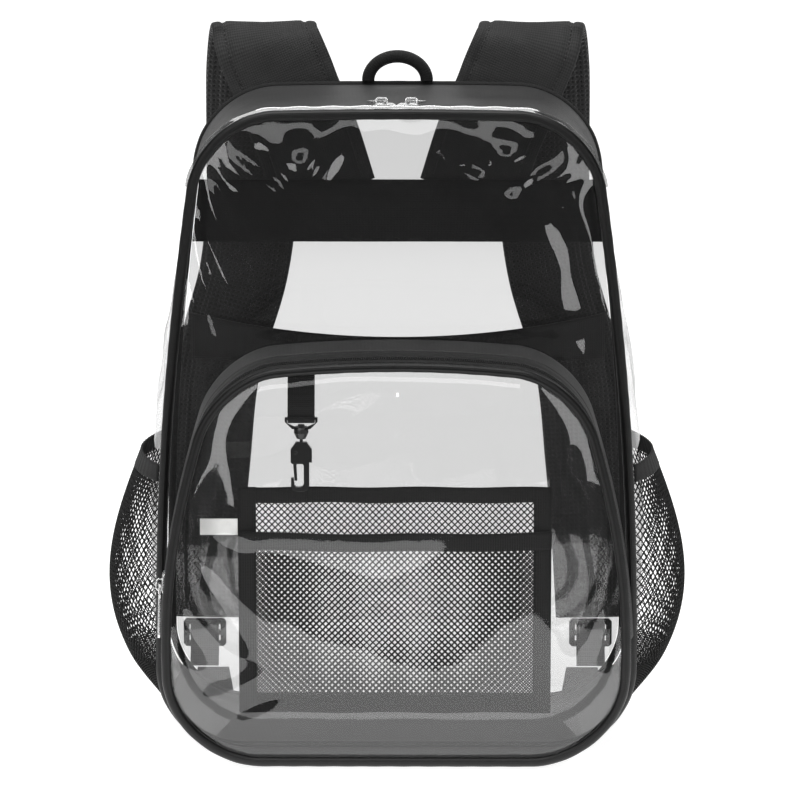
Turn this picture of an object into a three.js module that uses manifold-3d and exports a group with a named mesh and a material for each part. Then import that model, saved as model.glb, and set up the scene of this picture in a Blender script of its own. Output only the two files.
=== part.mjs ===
// A clear stadium backpack: see-through body and front pocket, black piping, nylon top and
// bottom, net side pockets, a net organizer with a swivel hook, and padded shoulder straps.
// Millimetres. +X is the wearer's left to right as seen from the front, +Y runs to the back
// panel, +Z is up. The piping of the front panel lies in the plane y = 0.
import * as THREE from 'three';
import { mergeVertices } from 'three/addons/utils/BufferGeometryUtils.js';
import Module from 'manifold-3d';

const wasm = await Module();
wasm.setup();

// Walls and clearances
const sheet = 1;
const cloth = 1.2;
const webbing = 1.5;
const gap = 0.3;

// Main body
const bodyHalfWidth = 157;
const bodyTopHalfWidth = 127;
const bodyHeight = 429.5;
const bodyDepth = 130;
const bodyTopRadius = 52;
const bodyBottomRadius = 50;
const bodySideBow = 10;
const bodyTopBow = 2.5;
const rearRise = 6;
const rearSpread = 4;
const pipingRadius = 3.5;
const bindingHalfDepth = 3;
const bindingHalfHeight = 2.6;
const floorDrop = 3.6;
const sideBulge = 11;
const sideBulgeTop = 362;
const frontBulge = 5;

// Top closure
const closureEnd = 380;
const stripDepth = 8;
const tapeDepth = 18;
const coilWidth = 5;
const coilRise = 1.2;
const sliderSpacing = 16;

// Bottom cloth
const bottomWrap = 30;

// Front pocket
const pocketDepth = 43;
const pocketSeamTop = 273;
const pocketSeamTopHalfWidth = 117;
const pocketSeamRadius = 45;
const pocketSeamSideBow = 15;
const pocketSeamTopBow = 8;
const pocketHalfWidth = 147;
const pocketTopHalfWidth = 117;
const pocketTop = 261;
const pocketBottom = 5.6;
const pocketTopRadius = 45;
const pocketBottomRadius = 52;
const pocketSideBow = 16;
const pocketTopBow = 9;
const pocketPipingRadius = 3.3;
const pocketTapeShare = 0.56;
const pocketZipEnd = 82;
const pocketBulge = 5;
const pocketSliderHeight = 122;

// Back panel and inner sleeve
const bandLow = 327;
const bandHigh = 370;
const sleeveLow = 12;
const sleeveHigh = 262;
const sleeveSag = 12;
const sleeveBandHeight = 32;
const sleeveBandPinch = 14;
const sleeveInset = 11;
const sleeveStandoff = 7;

// Side pockets
const netLow = 28;
const netHigh = 183;
const netBulge = 27;
const netBandHeight = 12;
const netBandLift = 6;
const netEdge = 0.06;
const netSeat = 0.9;

// Organizer inside the front pocket
const organizerLeft = -105;
const organizerRight = 103;
const organizerLow = 28;
const organizerHigh = 182;
const organizerBinding = 12;
const organizerTopBinding = 10.5;
const organizerBandLow = 140;
const organizerBandHeight = 12;
const organizerPleat = 1.6;
const organizerFullness = 7;
const labelWidth = 25;
const labelHeight = 11;
const labelLow = 149.5;

// Key clip
const clipX = -62.5;
const clipY = -12;
const keyEyeHeight = 230;
const keyEyeWidth = 21.6;
const keyEyeWindow = 5.2;
const keyWire = 1.6;
const hubHeight = 8;
const hubRadius = 4.9;
const swivelNeckRadius = 1.1;
const swivelButtonRadius = 2.2;
const swivelButtonHeight = 1.2;
const hookPlate = 4;
const hookWidth = 14;
const hookDrop = 1.3;
const hookLength = 34;
const hookBodyHeight = 15.5;
const gatePlate = 1.6;
const gateSeat = 3.4;
const gatePinRadius = 1;

// Zip sliders and pulls
const shoeHalfLength = 7.5;
const shoeHalfWidth = 4;
const crownSeat = 2;
const crownHeight = 6.2;
const crownHalfLength = 4.2;
const crownWire = 0.95;
const crownWidth = 1.4;
const crownShift = 1.7;
const pullWire = 1.3;
const topPullHalfWidth = 5.5;
const topPullLength = 16.5;
const topPullSkew = 60;
const topPullTilt = 7.5;
const pocketPullHalfWidth = 4.5;
const pocketPullLength = 36;

// Shoulder straps and handle
const strapThickness = 9;
const strapWidth = 72;
const strapApex = 471.5;
const strapLow = 58;
const strapReach = 46;
const strapBaseX = 50;
const strapEndX = 136;
const lockWidth = 30;
const lockHeight = 20;
const lockPlate = 3;
const lockRail = 4;
const anchorLow = 7;
const anchorHigh = 24;
const anchorWidth = 28;
const anchorInset = 6.25;
const handleHalfSpan = 20;
const handleRise = 16.4;
const handleThickness = 8.6;
const handleDepth = 12;

const colours = {
  nylon: 0x333333, binding: 0x262626, webbing: 0x181818, net: 0x1c1c1c,
  clear: 0xe4e6e6, metal: 0xc4c4c4, plastic: 0x141414, label: 0xf2f2f2,
};
const group = new THREE.Group();

function addMesh(name, geometry, kind, parent = group) {
  const isMetal = kind === 'metal';
  const isClear = kind === 'clear';
  const material = new THREE.MeshStandardMaterial({
    color: colours[kind],
    roughness: isClear ? 0.08 : isMetal ? 0.25 : 0.8,
    metalness: isMetal ? 1 : 0,
    transparent: isClear,
    opacity: isClear ? 0.3 : 1,
    side: THREE.DoubleSide,
  });
  const mesh = new THREE.Mesh(geometry, material);
  mesh.name = name;
  parent.add(mesh);
  return mesh;
}

// Closed geometry from vertices and triangles
function solid(points, faces) {
  const geometry = new THREE.BufferGeometry();
  const numbers = points.flatMap((p) => [p.x, p.y, p.z]);
  geometry.setAttribute('position', new THREE.Float32BufferAttribute(numbers, 3));
  geometry.setIndex(faces.flat());
  geometry.computeVertexNormals();
  return geometry;
}

// Joins and cuts of closed geometries
function toManifold(geometry) {
  const bare = geometry.clone();
  bare.deleteAttribute('normal');
  bare.deleteAttribute('uv');
  const merged = mergeVertices(bare, 1e-4);
  return new wasm.Manifold(new wasm.Mesh({
    numProp: 3,
    vertProperties: new Float32Array(merged.attributes.position.array),
    triVerts: new Uint32Array(merged.index.array),
  }));
}

function fromManifold(body) {
  const mesh = body.getMesh();
  const geometry = new THREE.BufferGeometry();
  geometry.setAttribute('position', new THREE.BufferAttribute(new Float32Array(mesh.vertProperties), 3));
  geometry.setIndex(new THREE.BufferAttribute(new Uint32Array(mesh.triVerts), 1));
  geometry.computeVertexNormals();
  return geometry;
}

const join = (...parts) => fromManifold(parts.map(toManifold).reduce((a, b) => a.add(b)));
const cut = (part, tool) => fromManifold(toManifold(part).subtract(toManifold(tool)));

// A rounded, slightly bowed trapezoid. Its parameter s runs 0 to 10 from the bottom centre up
// the right side to the top centre at 5 and down the left side: base line, bottom corner,
// side, top corner and top line take one unit each.
const stepsPerUnit = [3, 4, 6, 5, 4];

function outline({ half, topHalf, low, high, lowRadius, topRadius, sideBow, topBow }) {
  const lean = Math.atan2(half - topHalf, high - low);
  const lowCentre = half - lowRadius / Math.tan((Math.PI / 2 - lean) / 2);
  const topCentre = topHalf - topRadius / Math.tan((Math.PI / 2 + lean) / 2);
  const arc = (x, z, radius, angle) => [x + radius * Math.cos(angle), z + radius * Math.sin(angle)];
  const { lerp } = THREE.MathUtils;
  const straight = (k) => {
    const f = k - Math.floor(k);
    if (k < 1) return [lowCentre * k, low];
    if (k < 2) return arc(lowCentre, low + lowRadius, lowRadius, lerp(-Math.PI / 2, lean, f));
    if (k < 3) {
      const a = arc(lowCentre, low + lowRadius, lowRadius, lean);
      const b = arc(topCentre, high - topRadius, topRadius, lean);
      return [lerp(a[0], b[0], f), lerp(a[1], b[1], f)];
    }
    if (k < 4) return arc(topCentre, high - topRadius, topRadius, lerp(lean, Math.PI / 2, f));
    return [topCentre * (5 - k), high];
  };
  const bowed = (s) => {
    const turn = ((s % 10) + 10) % 10;
    const side = turn > 5 ? -1 : 1;
    const [x, z] = straight(turn > 5 ? 10 - turn : turn);
    const f = (z - low) / (high - low);
    const wide = x + sideBow * Math.sin(Math.PI * f);
    const high2 = z + topBow * (1 - (x / topHalf) ** 2) * f;
    return new THREE.Vector2(side * wide, high2);
  };
  return (s, outward = 0) => {
    const p = bowed(s);
    const ahead = bowed(s + 1e-3).sub(bowed(s - 1e-3)).normalize();
    return new THREE.Vector2(p.x + ahead.y * outward, p.y - ahead.x * outward);
  };
}

function knots(from, to) {
  const quarter = stepsPerUnit.flatMap((n, unit) => Array.from({ length: n }, (_, j) => unit + j / n));
  const loop = [...quarter, 5, ...quarter.slice(1).reverse().map((s) => 10 - s)];
  const all = [...loop.map((s) => s - 10), ...loop, ...loop.map((s) => s + 10)];
  const inside = all.filter((s) => s > from + 0.04 && s < to - 0.04);
  return [from, ...inside, to];
}

const loopKnots = () => knots(0, 10).slice(0, -1);

// The parameter on the right-hand side at which an outline reaches a height
function stationAt(line, height) {
  let [low, high] = [1, 5];
  for (let i = 0; i < 40; i += 1) {
    const middle = (low + high) / 2;
    if (line(middle).y < height) low = middle;
    else high = middle;
  }
  return low;
}

const shares = (count) => Array.from({ length: count + 1 }, (_, i) => i / count);

// Rises from 0 to 1 at the middle and falls back to 0
const arched = (f, power = 1) => Math.sin(Math.PI * THREE.MathUtils.clamp(f, 0, 1)) ** power;

// A wall between two offsets of a surface. du x dv points to the offset side.
function wall(surface, us, vs, inner, outer) {
  const offset = (value, u, v) => (typeof value === 'function' ? value(u, v) : value);
  const step = 1e-3;
  const at = (u, v, value) => {
    const du = surface(u + step, v).sub(surface(u - step, v));
    const dv = surface(u, v + step).sub(surface(u, v - step));
    return surface(u, v).addScaledVector(du.cross(dv).normalize(), offset(value, u, v));
  };
  const points = [inner, outer].flatMap((value) => us.flatMap((u) => vs.map((v) => at(u, v, value))));
  const rows = us.length;
  const columns = vs.length;
  const id = (layer, i, j) => layer * rows * columns + i * columns + j;
  const faces = [];
  const quad = (a, b, c, d) => faces.push([a, b, c], [a, c, d]);
  const lastRow = rows - 1;
  const lastColumn = columns - 1;
  for (let i = 0; i < lastRow; i += 1) {
    for (let j = 0; j < lastColumn; j += 1) {
      quad(id(1, i, j), id(1, i + 1, j), id(1, i + 1, j + 1), id(1, i, j + 1));
      quad(id(0, i, j), id(0, i, j + 1), id(0, i + 1, j + 1), id(0, i + 1, j));
    }
  }
  for (let j = 0; j < lastColumn; j += 1) {
    quad(id(0, 0, j), id(1, 0, j), id(1, 0, j + 1), id(0, 0, j + 1));
    quad(id(0, lastRow, j), id(0, lastRow, j + 1), id(1, lastRow, j + 1), id(1, lastRow, j));
  }
  for (let i = 0; i < lastRow; i += 1) {
    quad(id(0, i, 0), id(0, i + 1, 0), id(1, i + 1, 0), id(1, i, 0));
    const [near, far] = [id(0, i, lastColumn), id(0, i + 1, lastColumn)];
    quad(near, id(1, i, lastColumn), id(1, i + 1, lastColumn), far);
  }
  return solid(points, faces);
}

// A panel inside an outline, with its depth given by a function of x and z
function panel(line, inset, depthAt, rings) {
  const stations = loopKnots();
  const count = stations.length;
  const middle = new THREE.Vector2(0, (line(0).y + line(5).y) / 2);
  const points = [-sheet / 2, sheet / 2].flatMap((offset) => {
    const place = (p, r) => new THREE.Vector3(p.x, depthAt(p.x, p.y, r) + offset, p.y);
    const ring = (r) => stations.map((s) => place(middle.clone().lerp(line(s, -inset), r), r));
    return [place(middle, 0), ...shares(rings).slice(1).flatMap(ring)];
  });
  const layer = 1 + rings * count;
  const id = (k, ring, j) => k * layer + (ring === 0 ? 0 : 1 + (ring - 1) * count + (j % count));
  const faces = [];
  for (let j = 0; j < count; j += 1) {
    faces.push([id(0, 0, 0), id(0, 1, j), id(0, 1, j + 1)]);
    faces.push([id(1, 0, 0), id(1, 1, j + 1), id(1, 1, j)]);
    for (let ring = 1; ring < rings; ring += 1) {
      const front = [id(0, ring, j), id(0, ring + 1, j), id(0, ring + 1, j + 1), id(0, ring, j + 1)];
      const back = [id(1, ring, j), id(1, ring, j + 1), id(1, ring + 1, j + 1), id(1, ring + 1, j)];
      [front, back].forEach(([a, b, c, d]) => faces.push([a, b, c], [a, c, d]));
    }
    const [a, b, c, d] = [id(0, rings, j), id(1, rings, j), id(1, rings, j + 1), id(0, rings, j + 1)];
    faces.push([a, b, c], [a, c, d]);
  }
  return solid(points, faces);
}

// A section carried along frames { p, a, b }, where a x b points along the path
function sweep(frames, sectionAt, closed = false) {
  const section = (i) => (typeof sectionAt === 'function' ? sectionAt(i) : sectionAt);
  const place = ({ p, a, b }, [x, y]) => p.clone().addScaledVector(a, x).addScaledVector(b, y);
  const points = frames.flatMap((frame, i) => section(i).map((corner) => place(frame, corner)));
  const sides = section(0).length;
  const rows = frames.length;
  const id = (i, j) => (i % rows) * sides + (j % sides);
  const faces = [];
  for (let i = 0; i < (closed ? rows : rows - 1); i += 1) {
    for (let j = 0; j < sides; j += 1) {
      faces.push([id(i, j), id(i, j + 1), id(i + 1, j + 1)], [id(i, j), id(i + 1, j + 1), id(i + 1, j)]);
    }
  }
  for (let j = 1; j < sides - 1 && !closed; j += 1) {
    faces.push([id(0, 0), id(0, j + 1), id(0, j)], [id(rows - 1, 0), id(rows - 1, j), id(rows - 1, j + 1)]);
  }
  return solid(points, faces);
}

const ovalSection = (halfA, halfB, sides) => shares(sides).slice(1).map((f) => [
  halfA * Math.cos(2 * Math.PI * f), halfB * Math.sin(2 * Math.PI * f),
]);

// A rounded flat section, wide along a and thin along b
function padSection(width, thickness, edge) {
  const [w, t] = [width / 2, thickness / 2];
  return [[w, edge - t], [w, t - edge], [w - edge, t], [edge - w, t],
    [-w, t - edge], [-w, edge - t], [edge - w, -t], [w - edge, -t]];
}

// A round or oval cord that closes on itself along an outline
function pipingRing(line, y, halfOut, halfDepth) {
  const frames = loopKnots().map((s) => {
    const p = line(s);
    const q = line(s, 1);
    return {
      p: new THREE.Vector3(p.x, y, p.y),
      a: new THREE.Vector3(q.x - p.x, 0, q.y - p.y),
      b: new THREE.Vector3(0, 1, 0),
    };
  });
  return sweep(frames, ovalSection(halfOut, halfDepth, 6), true);
}

// Frames along a curve, with a kept as close as it can to a given direction
function framesAlong(curve, count, direction) {
  return shares(count).map((f) => {
    const tangent = curve.getTangentAt(f);
    const a = direction.clone().addScaledVector(tangent, -direction.dot(tangent)).normalize();
    return { p: curve.getPointAt(f), a, b: tangent.clone().cross(a) };
  });
}

function polygonShape(corners) {
  return new THREE.Shape(corners.map(([x, y]) => new THREE.Vector2(x, y)));
}

function chamfered(left, right, low, high, edge) {
  return [[right, low + edge], [right, high - edge], [right - edge, high], [left + edge, high],
    [left, high - edge], [left, low + edge], [left + edge, low], [right - edge, low]];
}

function plate(corners, holes, thickness) {
  const shape = polygonShape(corners);
  shape.holes = holes.map(polygonShape);
  const geometry = new THREE.ExtrudeGeometry(shape, { depth: thickness, bevelEnabled: false });
  return geometry.translate(0, 0, -thickness / 2);
}

// Plates drawn in x and z, with their thickness along y
const upright = (geometry) => geometry.rotateX(Math.PI / 2);
const block = (x0, x1, y0, y1, z0, z1) => new THREE.BoxGeometry(x1 - x0, y1 - y0, z1 - z0)
  .translate((x0 + x1) / 2, (y0 + y1) / 2, (z0 + z1) / 2);

// Outlines of the body's front and back seams and of the pocket's two seams
const bodyLow = floorDrop + cloth / 2;
const frontLine = outline({
  half: bodyHalfWidth, topHalf: bodyTopHalfWidth, low: bodyLow, high: bodyHeight - bodyTopBow,
  lowRadius: bodyBottomRadius, topRadius: bodyTopRadius, sideBow: bodySideBow, topBow: bodyTopBow,
});
const rearLine = outline({
  half: bodyHalfWidth, topHalf: bodyTopHalfWidth + rearSpread, low: bodyLow,
  high: bodyHeight + rearRise - bodyTopBow,
  lowRadius: bodyBottomRadius, topRadius: bodyTopRadius, sideBow: bodySideBow, topBow: bodyTopBow,
});
const seamLine = outline({
  half: bodyHalfWidth, topHalf: pocketSeamTopHalfWidth, low: bodyLow, high: pocketSeamTop,
  lowRadius: bodyBottomRadius, topRadius: pocketSeamRadius,
  sideBow: pocketSeamSideBow, topBow: pocketSeamTopBow,
});
const pocketLine = outline({
  half: pocketHalfWidth, topHalf: pocketTopHalfWidth, low: pocketBottom, high: pocketTop,
  lowRadius: pocketBottomRadius, topRadius: pocketTopRadius,
  sideBow: pocketSideBow, topBow: pocketTopBow,
});
const gussetFront = pipingRadius + gap;
const gussetRear = bodyDepth - bindingHalfDepth - gap;

// The body's side, top and bottom wall. y is the depth and s the outline's parameter.
function bodySurface(y, s) {
  const f = y / bodyDepth;
  const line = frontLine(s).lerp(rearLine(s), f);
  const bulge = sideBulge * arched(line.y / sideBulgeTop) * 4 * f * (1 - f);
  return new THREE.Vector3(line.x + Math.sign(line.x) * bulge, y, line.y);
}

const closureStation = stationAt(frontLine, closureEnd);
const wrapStation = stationAt(frontLine, bottomWrap);
const seamGap = 0.004;

function addBody() {
  const seamTop = pocketSeamTop + pocketSeamTopBow;
  const slope = (x, z) => frontBulge * arched((z - seamTop) / (bodyHeight - seamTop));
  const depthAt = (x, z, r) => -slope(x, z) * (1 - r ** 4);
  addMesh('front_panel', panel(frontLine, pipingRadius + gap, depthAt, 5), 'clear');
  addMesh('front_piping', pipingRing(frontLine, 0, pipingRadius, pipingRadius), 'binding');
  addMesh('back_panel', panel(rearLine, bindingHalfHeight + gap, () => bodyDepth, 1), 'clear');
  addMesh('back_binding', pipingRing(rearLine, bodyDepth, bindingHalfHeight, bindingHalfDepth), 'binding');
  const sideDepths = shares(4).map((f) => THREE.MathUtils.lerp(gussetFront, gussetRear, f));
  const right = knots(wrapStation, closureStation - seamGap);
  const left = knots(10 - closureStation + seamGap, 10 - wrapStation);
  addMesh('side_gusset_right', wall(bodySurface, sideDepths, right, -sheet / 2, sheet / 2), 'clear');
  addMesh('side_gusset_left', wall(bodySurface, sideDepths, left, -sheet / 2, sheet / 2), 'clear');
}

function addBottom() {
  const ramp = 10;
  const depths = [gussetFront, gussetFront + ramp, bodyDepth / 2, gussetRear - ramp, gussetRear];
  const drop = (y, s) => {
    const inside = Math.min(y - gussetFront, gussetRear - y) / ramp;
    const turn = Math.min(s % 10, 10 - (s % 10));
    const side = THREE.MathUtils.smoothstep(turn, 1, wrapStation);
    return floorDrop * THREE.MathUtils.clamp(inside, 0, 1) * (1 - side);
  };
  const stations = knots(10 - wrapStation + seamGap, 10 + wrapStation - seamGap);
  const inner = (y, s) => drop(y, s) - cloth / 2;
  const outer = (y, s) => drop(y, s) + cloth / 2;
  addMesh('bottom_panel', wall(bodySurface, depths, stations, inner, outer), 'nylon');
}

// The strip, the zipper and the nylon top follow one another from front to back
const tapeFront = gussetFront + stripDepth + gap;
const tapeRear = tapeFront + tapeDepth;
const coilY = (tapeFront + tapeRear) / 2;

// A tape with a raised coil along its middle. scale is the surface's length per unit of u.
function ridged(from, to, scale = 1) {
  const middle = (from + to) / 2;
  const [edge, ramp] = [coilWidth / 2 / scale, gap / scale];
  const us = [from, middle - edge - ramp, middle - edge, middle + edge, middle + edge + ramp, to];
  return { us, outer: (u) => sheet / 2 + (Math.abs(u - middle) < edge + ramp / 2 ? coilRise : 0) };
}

function addClosure() {
  const stations = knots(closureStation, 10 - closureStation);
  const strip = [gussetFront, gussetFront + stripDepth];
  addMesh('zip_strip', wall(bodySurface, strip, stations, -sheet / 2, sheet / 2), 'clear');
  const { us, outer } = ridged(tapeFront, tapeRear);
  addMesh('main_zipper', wall(bodySurface, us, stations, -sheet / 2, outer), 'binding');
  const topDepths = shares(3).map((f) => THREE.MathUtils.lerp(tapeRear + gap, gussetRear, f));
  addMesh('top_gusset', wall(bodySurface, topDepths, stations, -cloth / 2, cloth / 2), 'nylon');
}

// The pocket's side wall. u runs 0 at the main panel to 1 at the pocket's piping.
const pocketFrontY = -pocketDepth;
const pocketWallFront = pocketFrontY + pocketPipingRadius + gap;
const pocketWallRear = -pipingRadius - gap;

function pocketSurface(u, s) {
  const line = seamLine(s).lerp(pocketLine(s), u);
  return new THREE.Vector3(line.x, THREE.MathUtils.lerp(pocketWallRear, pocketWallFront, u), line.y);
}

const zipStation = stationAt(pocketLine, pocketZipEnd);

function addPocketWalls() {
  const reversed = (u, s) => pocketSurface(1 - u, s);
  const arch = knots(zipStation, 10 - zipStation);
  const { us, outer } = ridged(0, pocketTapeShare, pocketDepth);
  addMesh('pocket_zipper', wall(reversed, us, arch, -sheet / 2, outer), 'binding');
  const tapeEnd = pocketTapeShare + gap / pocketDepth;
  const gusset = wall(reversed, [tapeEnd, (tapeEnd + 1) / 2, 1], arch, -cloth / 2, cloth / 2);
  addMesh('pocket_gusset', gusset, 'nylon');
  const right = knots(1 + seamGap, zipStation - seamGap);
  const left = knots(10 - zipStation + seamGap, 9 - seamGap);
  addMesh('pocket_side_right', wall(reversed, shares(2), right, -sheet / 2, sheet / 2), 'clear');
  addMesh('pocket_side_left', wall(reversed, shares(2), left, -sheet / 2, sheet / 2), 'clear');
  addMesh('pocket_bottom', wall(reversed, shares(2), knots(9, 11), -cloth / 2, cloth / 2), 'nylon');
}

function addPocketFront() {
  const depthAt = (x, z, r) => pocketFrontY - pocketBulge * (1 - r ** 2);
  addMesh('pocket_panel', panel(pocketLine, pocketPipingRadius + gap, depthAt, 4), 'clear');
  const ring = pipingRing(pocketLine, pocketFrontY, pocketPipingRadius, pocketPipingRadius);
  addMesh('pocket_piping', ring, 'binding');
}

// The wide band outside the back panel, and the clear sleeve inside it
function widthAt(line, height, inset) {
  return line(stationAt(line, height)).x - inset;
}

const backFace = bodyDepth + sheet / 2;

function addBackBand() {
  const [low, high] = [bandLow, bandHigh].map((z) => widthAt(rearLine, z, bindingHalfHeight + gap));
  const corners = [[-low, bandLow], [low, bandLow], [high, bandHigh], [-high, bandHigh]];
  const band = upright(plate(corners, [], cloth));
  addMesh('back_band', band.translate(0, backFace + gap + cloth / 2, 0), 'webbing');
}

function sleeveSurface(u, z) {
  const half = widthAt(rearLine, Math.min(z, bodyHeight / 2), sleeveInset);
  const height = THREE.MathUtils.clamp((z - sleeveLow) / (sleeveHigh - sleeveLow), 0, 1.2);
  const standoff = (sleeveStandoff * height ** 0.5 + sleeveSag * height ** 2) * (1 - u ** 2);
  return new THREE.Vector3(-u * half, bodyDepth - sheet - cloth / 2 - gap - standoff, z);
}

function addSleeve() {
  const across = shares(8).map((f) => 2 * f - 1);
  const bandFoot = sleeveHigh - sleeveBandHeight / 2;
  const bandTop = (u) => sleeveHigh + sleeveBandHeight / 2 - sleeveBandPinch * (1 - u ** 2);
  const rise = (u, f) => sleeveSurface(u, THREE.MathUtils.lerp(sleeveLow, bandFoot - gap, f));
  addMesh('sleeve_panel', wall(rise, across, shares(4), -sheet / 2, sheet / 2), 'clear');
  const hem = (u, f) => sleeveSurface(u, THREE.MathUtils.lerp(bandFoot, bandTop(u), f));
  addMesh('sleeve_band', wall(hem, across, shares(1), -cloth / 2, cloth / 2), 'webbing');
}

// A net pocket stands off the side wall and closes on it at its foot
const netTop = netHigh + gap + netBandHeight;

function netSurface(side) {
  return (u, s) => {
    const p = bodySurface(u * bodyDepth, s);
    const f = THREE.MathUtils.clamp((p.z - netLow) / (netTop - netLow), 0, 1);
    const swell = netBulge * arched(f ** 0.8) + netBandLift * f ** 2;
    const standoff = sheet + netSeat + arched((u - netEdge) / (1 - 2 * netEdge), 0.75) * swell;
    return new THREE.Vector3(side * (p.x + standoff), p.y, p.z);
  };
}

function halved(values) {
  return values.flatMap((value, i) => (i === 0 ? [value] : [(values[i - 1] + value) / 2, value]));
}

function addSidePocket(name, side) {
  const surface = netSurface(side);
  const facing = side > 0 ? surface : (u, s) => surface(1 - u, s);
  const depths = shares(8).map((f) => THREE.MathUtils.lerp(netEdge, 1 - netEdge, f));
  const [low, high, foot, top] = [netLow, netHigh, netHigh + gap, netTop].map((z) => stationAt(frontLine, z));
  const stations = halved(knots(low, high));
  addMesh(`side_pocket_${name}`, wall(facing, depths, stations, -sheet / 2, sheet / 2), 'net');
  addMesh(`side_pocket_band_${name}`, wall(facing, depths, [foot, top], -cloth / 2, cloth / 2), 'webbing');
}

// Organizer layers from the main panel forward: back net and frame, then front net and band
const organizerBack = -sheet / 2 - gap;
const frameFront = organizerBack - webbing;

function addOrganizer() {
  const rectangle = (x0, x1, z0, z1) => [[x0, z0], [x1, z0], [x1, z1], [x0, z1]];
  const window = [organizerLeft + organizerBinding, organizerRight - organizerBinding,
    organizerLow + organizerBinding, organizerHigh - organizerTopBinding];
  const outer = rectangle(organizerLeft, organizerRight, organizerLow, organizerHigh);
  const frame = upright(plate(outer, [rectangle(...window)], webbing));
  addMesh('organizer_frame', frame.translate(0, organizerBack - webbing / 2, 0), 'webbing');
  const [x0, x1, z0, z1] = window;
  const backNet = block(x0 + gap, x1 - gap, organizerBack - sheet, organizerBack, z0 + gap, z1 - gap);
  addMesh('organizer_back', backNet, 'net');
  const fullness = (u, f) => organizerFullness * arched(u, 0.7) * arched(0.7 * f, 0.7);
  const net = (u, f) => {
    const pleat = organizerPleat * arched(u) * Math.sin(6 * Math.PI * u) ** 2;
    const y = frameFront - gap - sheet / 2 - fullness(u, f) - pleat * (1 - f / 2);
    return new THREE.Vector3(THREE.MathUtils.lerp(x0, x1, u), y,
      THREE.MathUtils.lerp(z0 - organizerBinding / 2, organizerBandLow - gap, f));
  };
  addMesh('organizer_front', wall(net, shares(16), shares(6), -sheet / 2, sheet / 2), 'net');
  const hem = (u, f) => new THREE.Vector3(THREE.MathUtils.lerp(organizerLeft, organizerRight, u),
    frameFront - gap - webbing / 2 - fullness(u, 1), organizerBandLow + organizerBandHeight * f);
  addMesh('organizer_band', wall(hem, shares(12), shares(1), -webbing / 2, webbing / 2), 'webbing');
  const labelRight = organizerLeft - gap;
  const label = block(labelRight - labelWidth, labelRight, organizerBack - sheet, organizerBack,
    labelLow, labelLow + labelHeight);
  addMesh('label_tag', label, 'label');
}

// The strap reaches up to the pocket's top wall, whose height falls away from the middle
function keyStrapTop() {
  const reach = Math.abs(clipX) + keyEyeWidth / 2;
  const [s] = knots(3, 5).filter((k) => seamLine(k).x < reach);
  const below = 2 * webbing / pocketDepth;
  return pocketSurface(below, s - 1 / stepsPerUnit[4]).z - cloth - gap;
}

// Key clip: a webbing loop holds the eye's top bar, and the hook's neck turns in the eye's hub
function addKeyClip() {
  const boreRadius = keyWire * Math.SQRT1_2 + gap;
  const strapWidthHere = keyEyeWidth - 2 * keyWire - 2 * gap;
  const clip = new THREE.Group();
  clip.position.set(clipX, clipY, 0);
  group.add(clip);
  const seamY = -sheet / 2 - gap - webbing - clipY;
  const top = keyStrapTop();
  const route = [[seamY, top], [seamY, top - 4 * webbing], [0, keyEyeHeight + 5 * webbing],
    [0, keyEyeHeight]];
  const curve = new THREE.CatmullRomCurve3(route.map(([y, z]) => new THREE.Vector3(0, y, z)));
  const frames = framesAlong(curve, 6, new THREE.Vector3(1, 0, 0));
  const straps = sweep(frames, padSection(strapWidthHere, 2 * webbing, 0.5));
  const across = (radius, length, sides) => new THREE.CylinderGeometry(radius, radius, length, sides)
    .rotateZ(Math.PI / 2).translate(0, 0, keyEyeHeight);
  const wrap = across(boreRadius + webbing, strapWidthHere, 12);
  const bore = across(boreRadius, 2 * strapWidthHere, 10);
  addMesh('key_strap', cut(join(straps, wrap), bore), 'webbing', clip);
  addKeyEye(clip);
  addKeyHook(clip);
}

const hubTop = keyEyeHeight - keyEyeWindow;
const hubLow = hubTop - hubHeight;
const hookTop = hubLow - hookDrop;
const hookLow = hookTop - hookLength;
const hookBodyLow = hookTop - hookBodyHeight;
const turned = (radius, height, z, sides = 12) => new THREE.CylinderGeometry(radius, radius, height, sides)
  .rotateX(Math.PI / 2).translate(0, 0, z);

// A ring with a window for the strap, over a flared hub bored for the swivel's neck
function addKeyEye(clip) {
  const half = keyEyeWidth / 2;
  const side = half - keyWire;
  const foot = -keyEyeWindow - keyWire;
  const outer = [[-half, 1], [-half, -2], [-6, foot], [6, foot], [half, -2], [half, 1]];
  const inner = [[-side, -keyWire / 2], [-side, -3], [keyWire - 6, -keyEyeWindow],
    [6 - keyWire, -keyEyeWindow], [side, -3], [side, -keyWire / 2]];
  const ring = upright(plate(outer, [inner], keyWire)).translate(0, 0, keyEyeHeight);
  const profile = [[0, hubLow], [hubRadius * 0.6, hubLow], [hubRadius, (hubLow + hubTop) / 2],
    [hubRadius, hubTop - keyWire], [hubRadius * 0.9, hubTop], [0, hubTop]];
  const points = profile.map(([r, z]) => new THREE.Vector2(r, z));
  const hub = new THREE.LatheGeometry(points, 14).rotateX(Math.PI / 2);
  const bore = turned(swivelNeckRadius + gap, 2 * hubHeight, (hubLow + hubTop) / 2);
  addMesh('key_eye', cut(join(ring, hub), bore), 'plastic', clip);
}

// The hook's outline as x and z from the clip's axis and the hook's foot: stem side, crook, tip
const hookCrook = [[1.6, 5], [0.9, 3.4], [-0.7, 2.8], [-3.2, 2.8], [-4.6, 4], [-5, 9], [-6.8, 9], [-6.8, 3],
  [-5.2, 0.8], [-2.6, 0], [1.6, 0], [4.4, 1.4], [5.2, 4]];

// The gate's outline below its pin: x and z, the last pair down at its foot
const gateFoot = 7;

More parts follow.
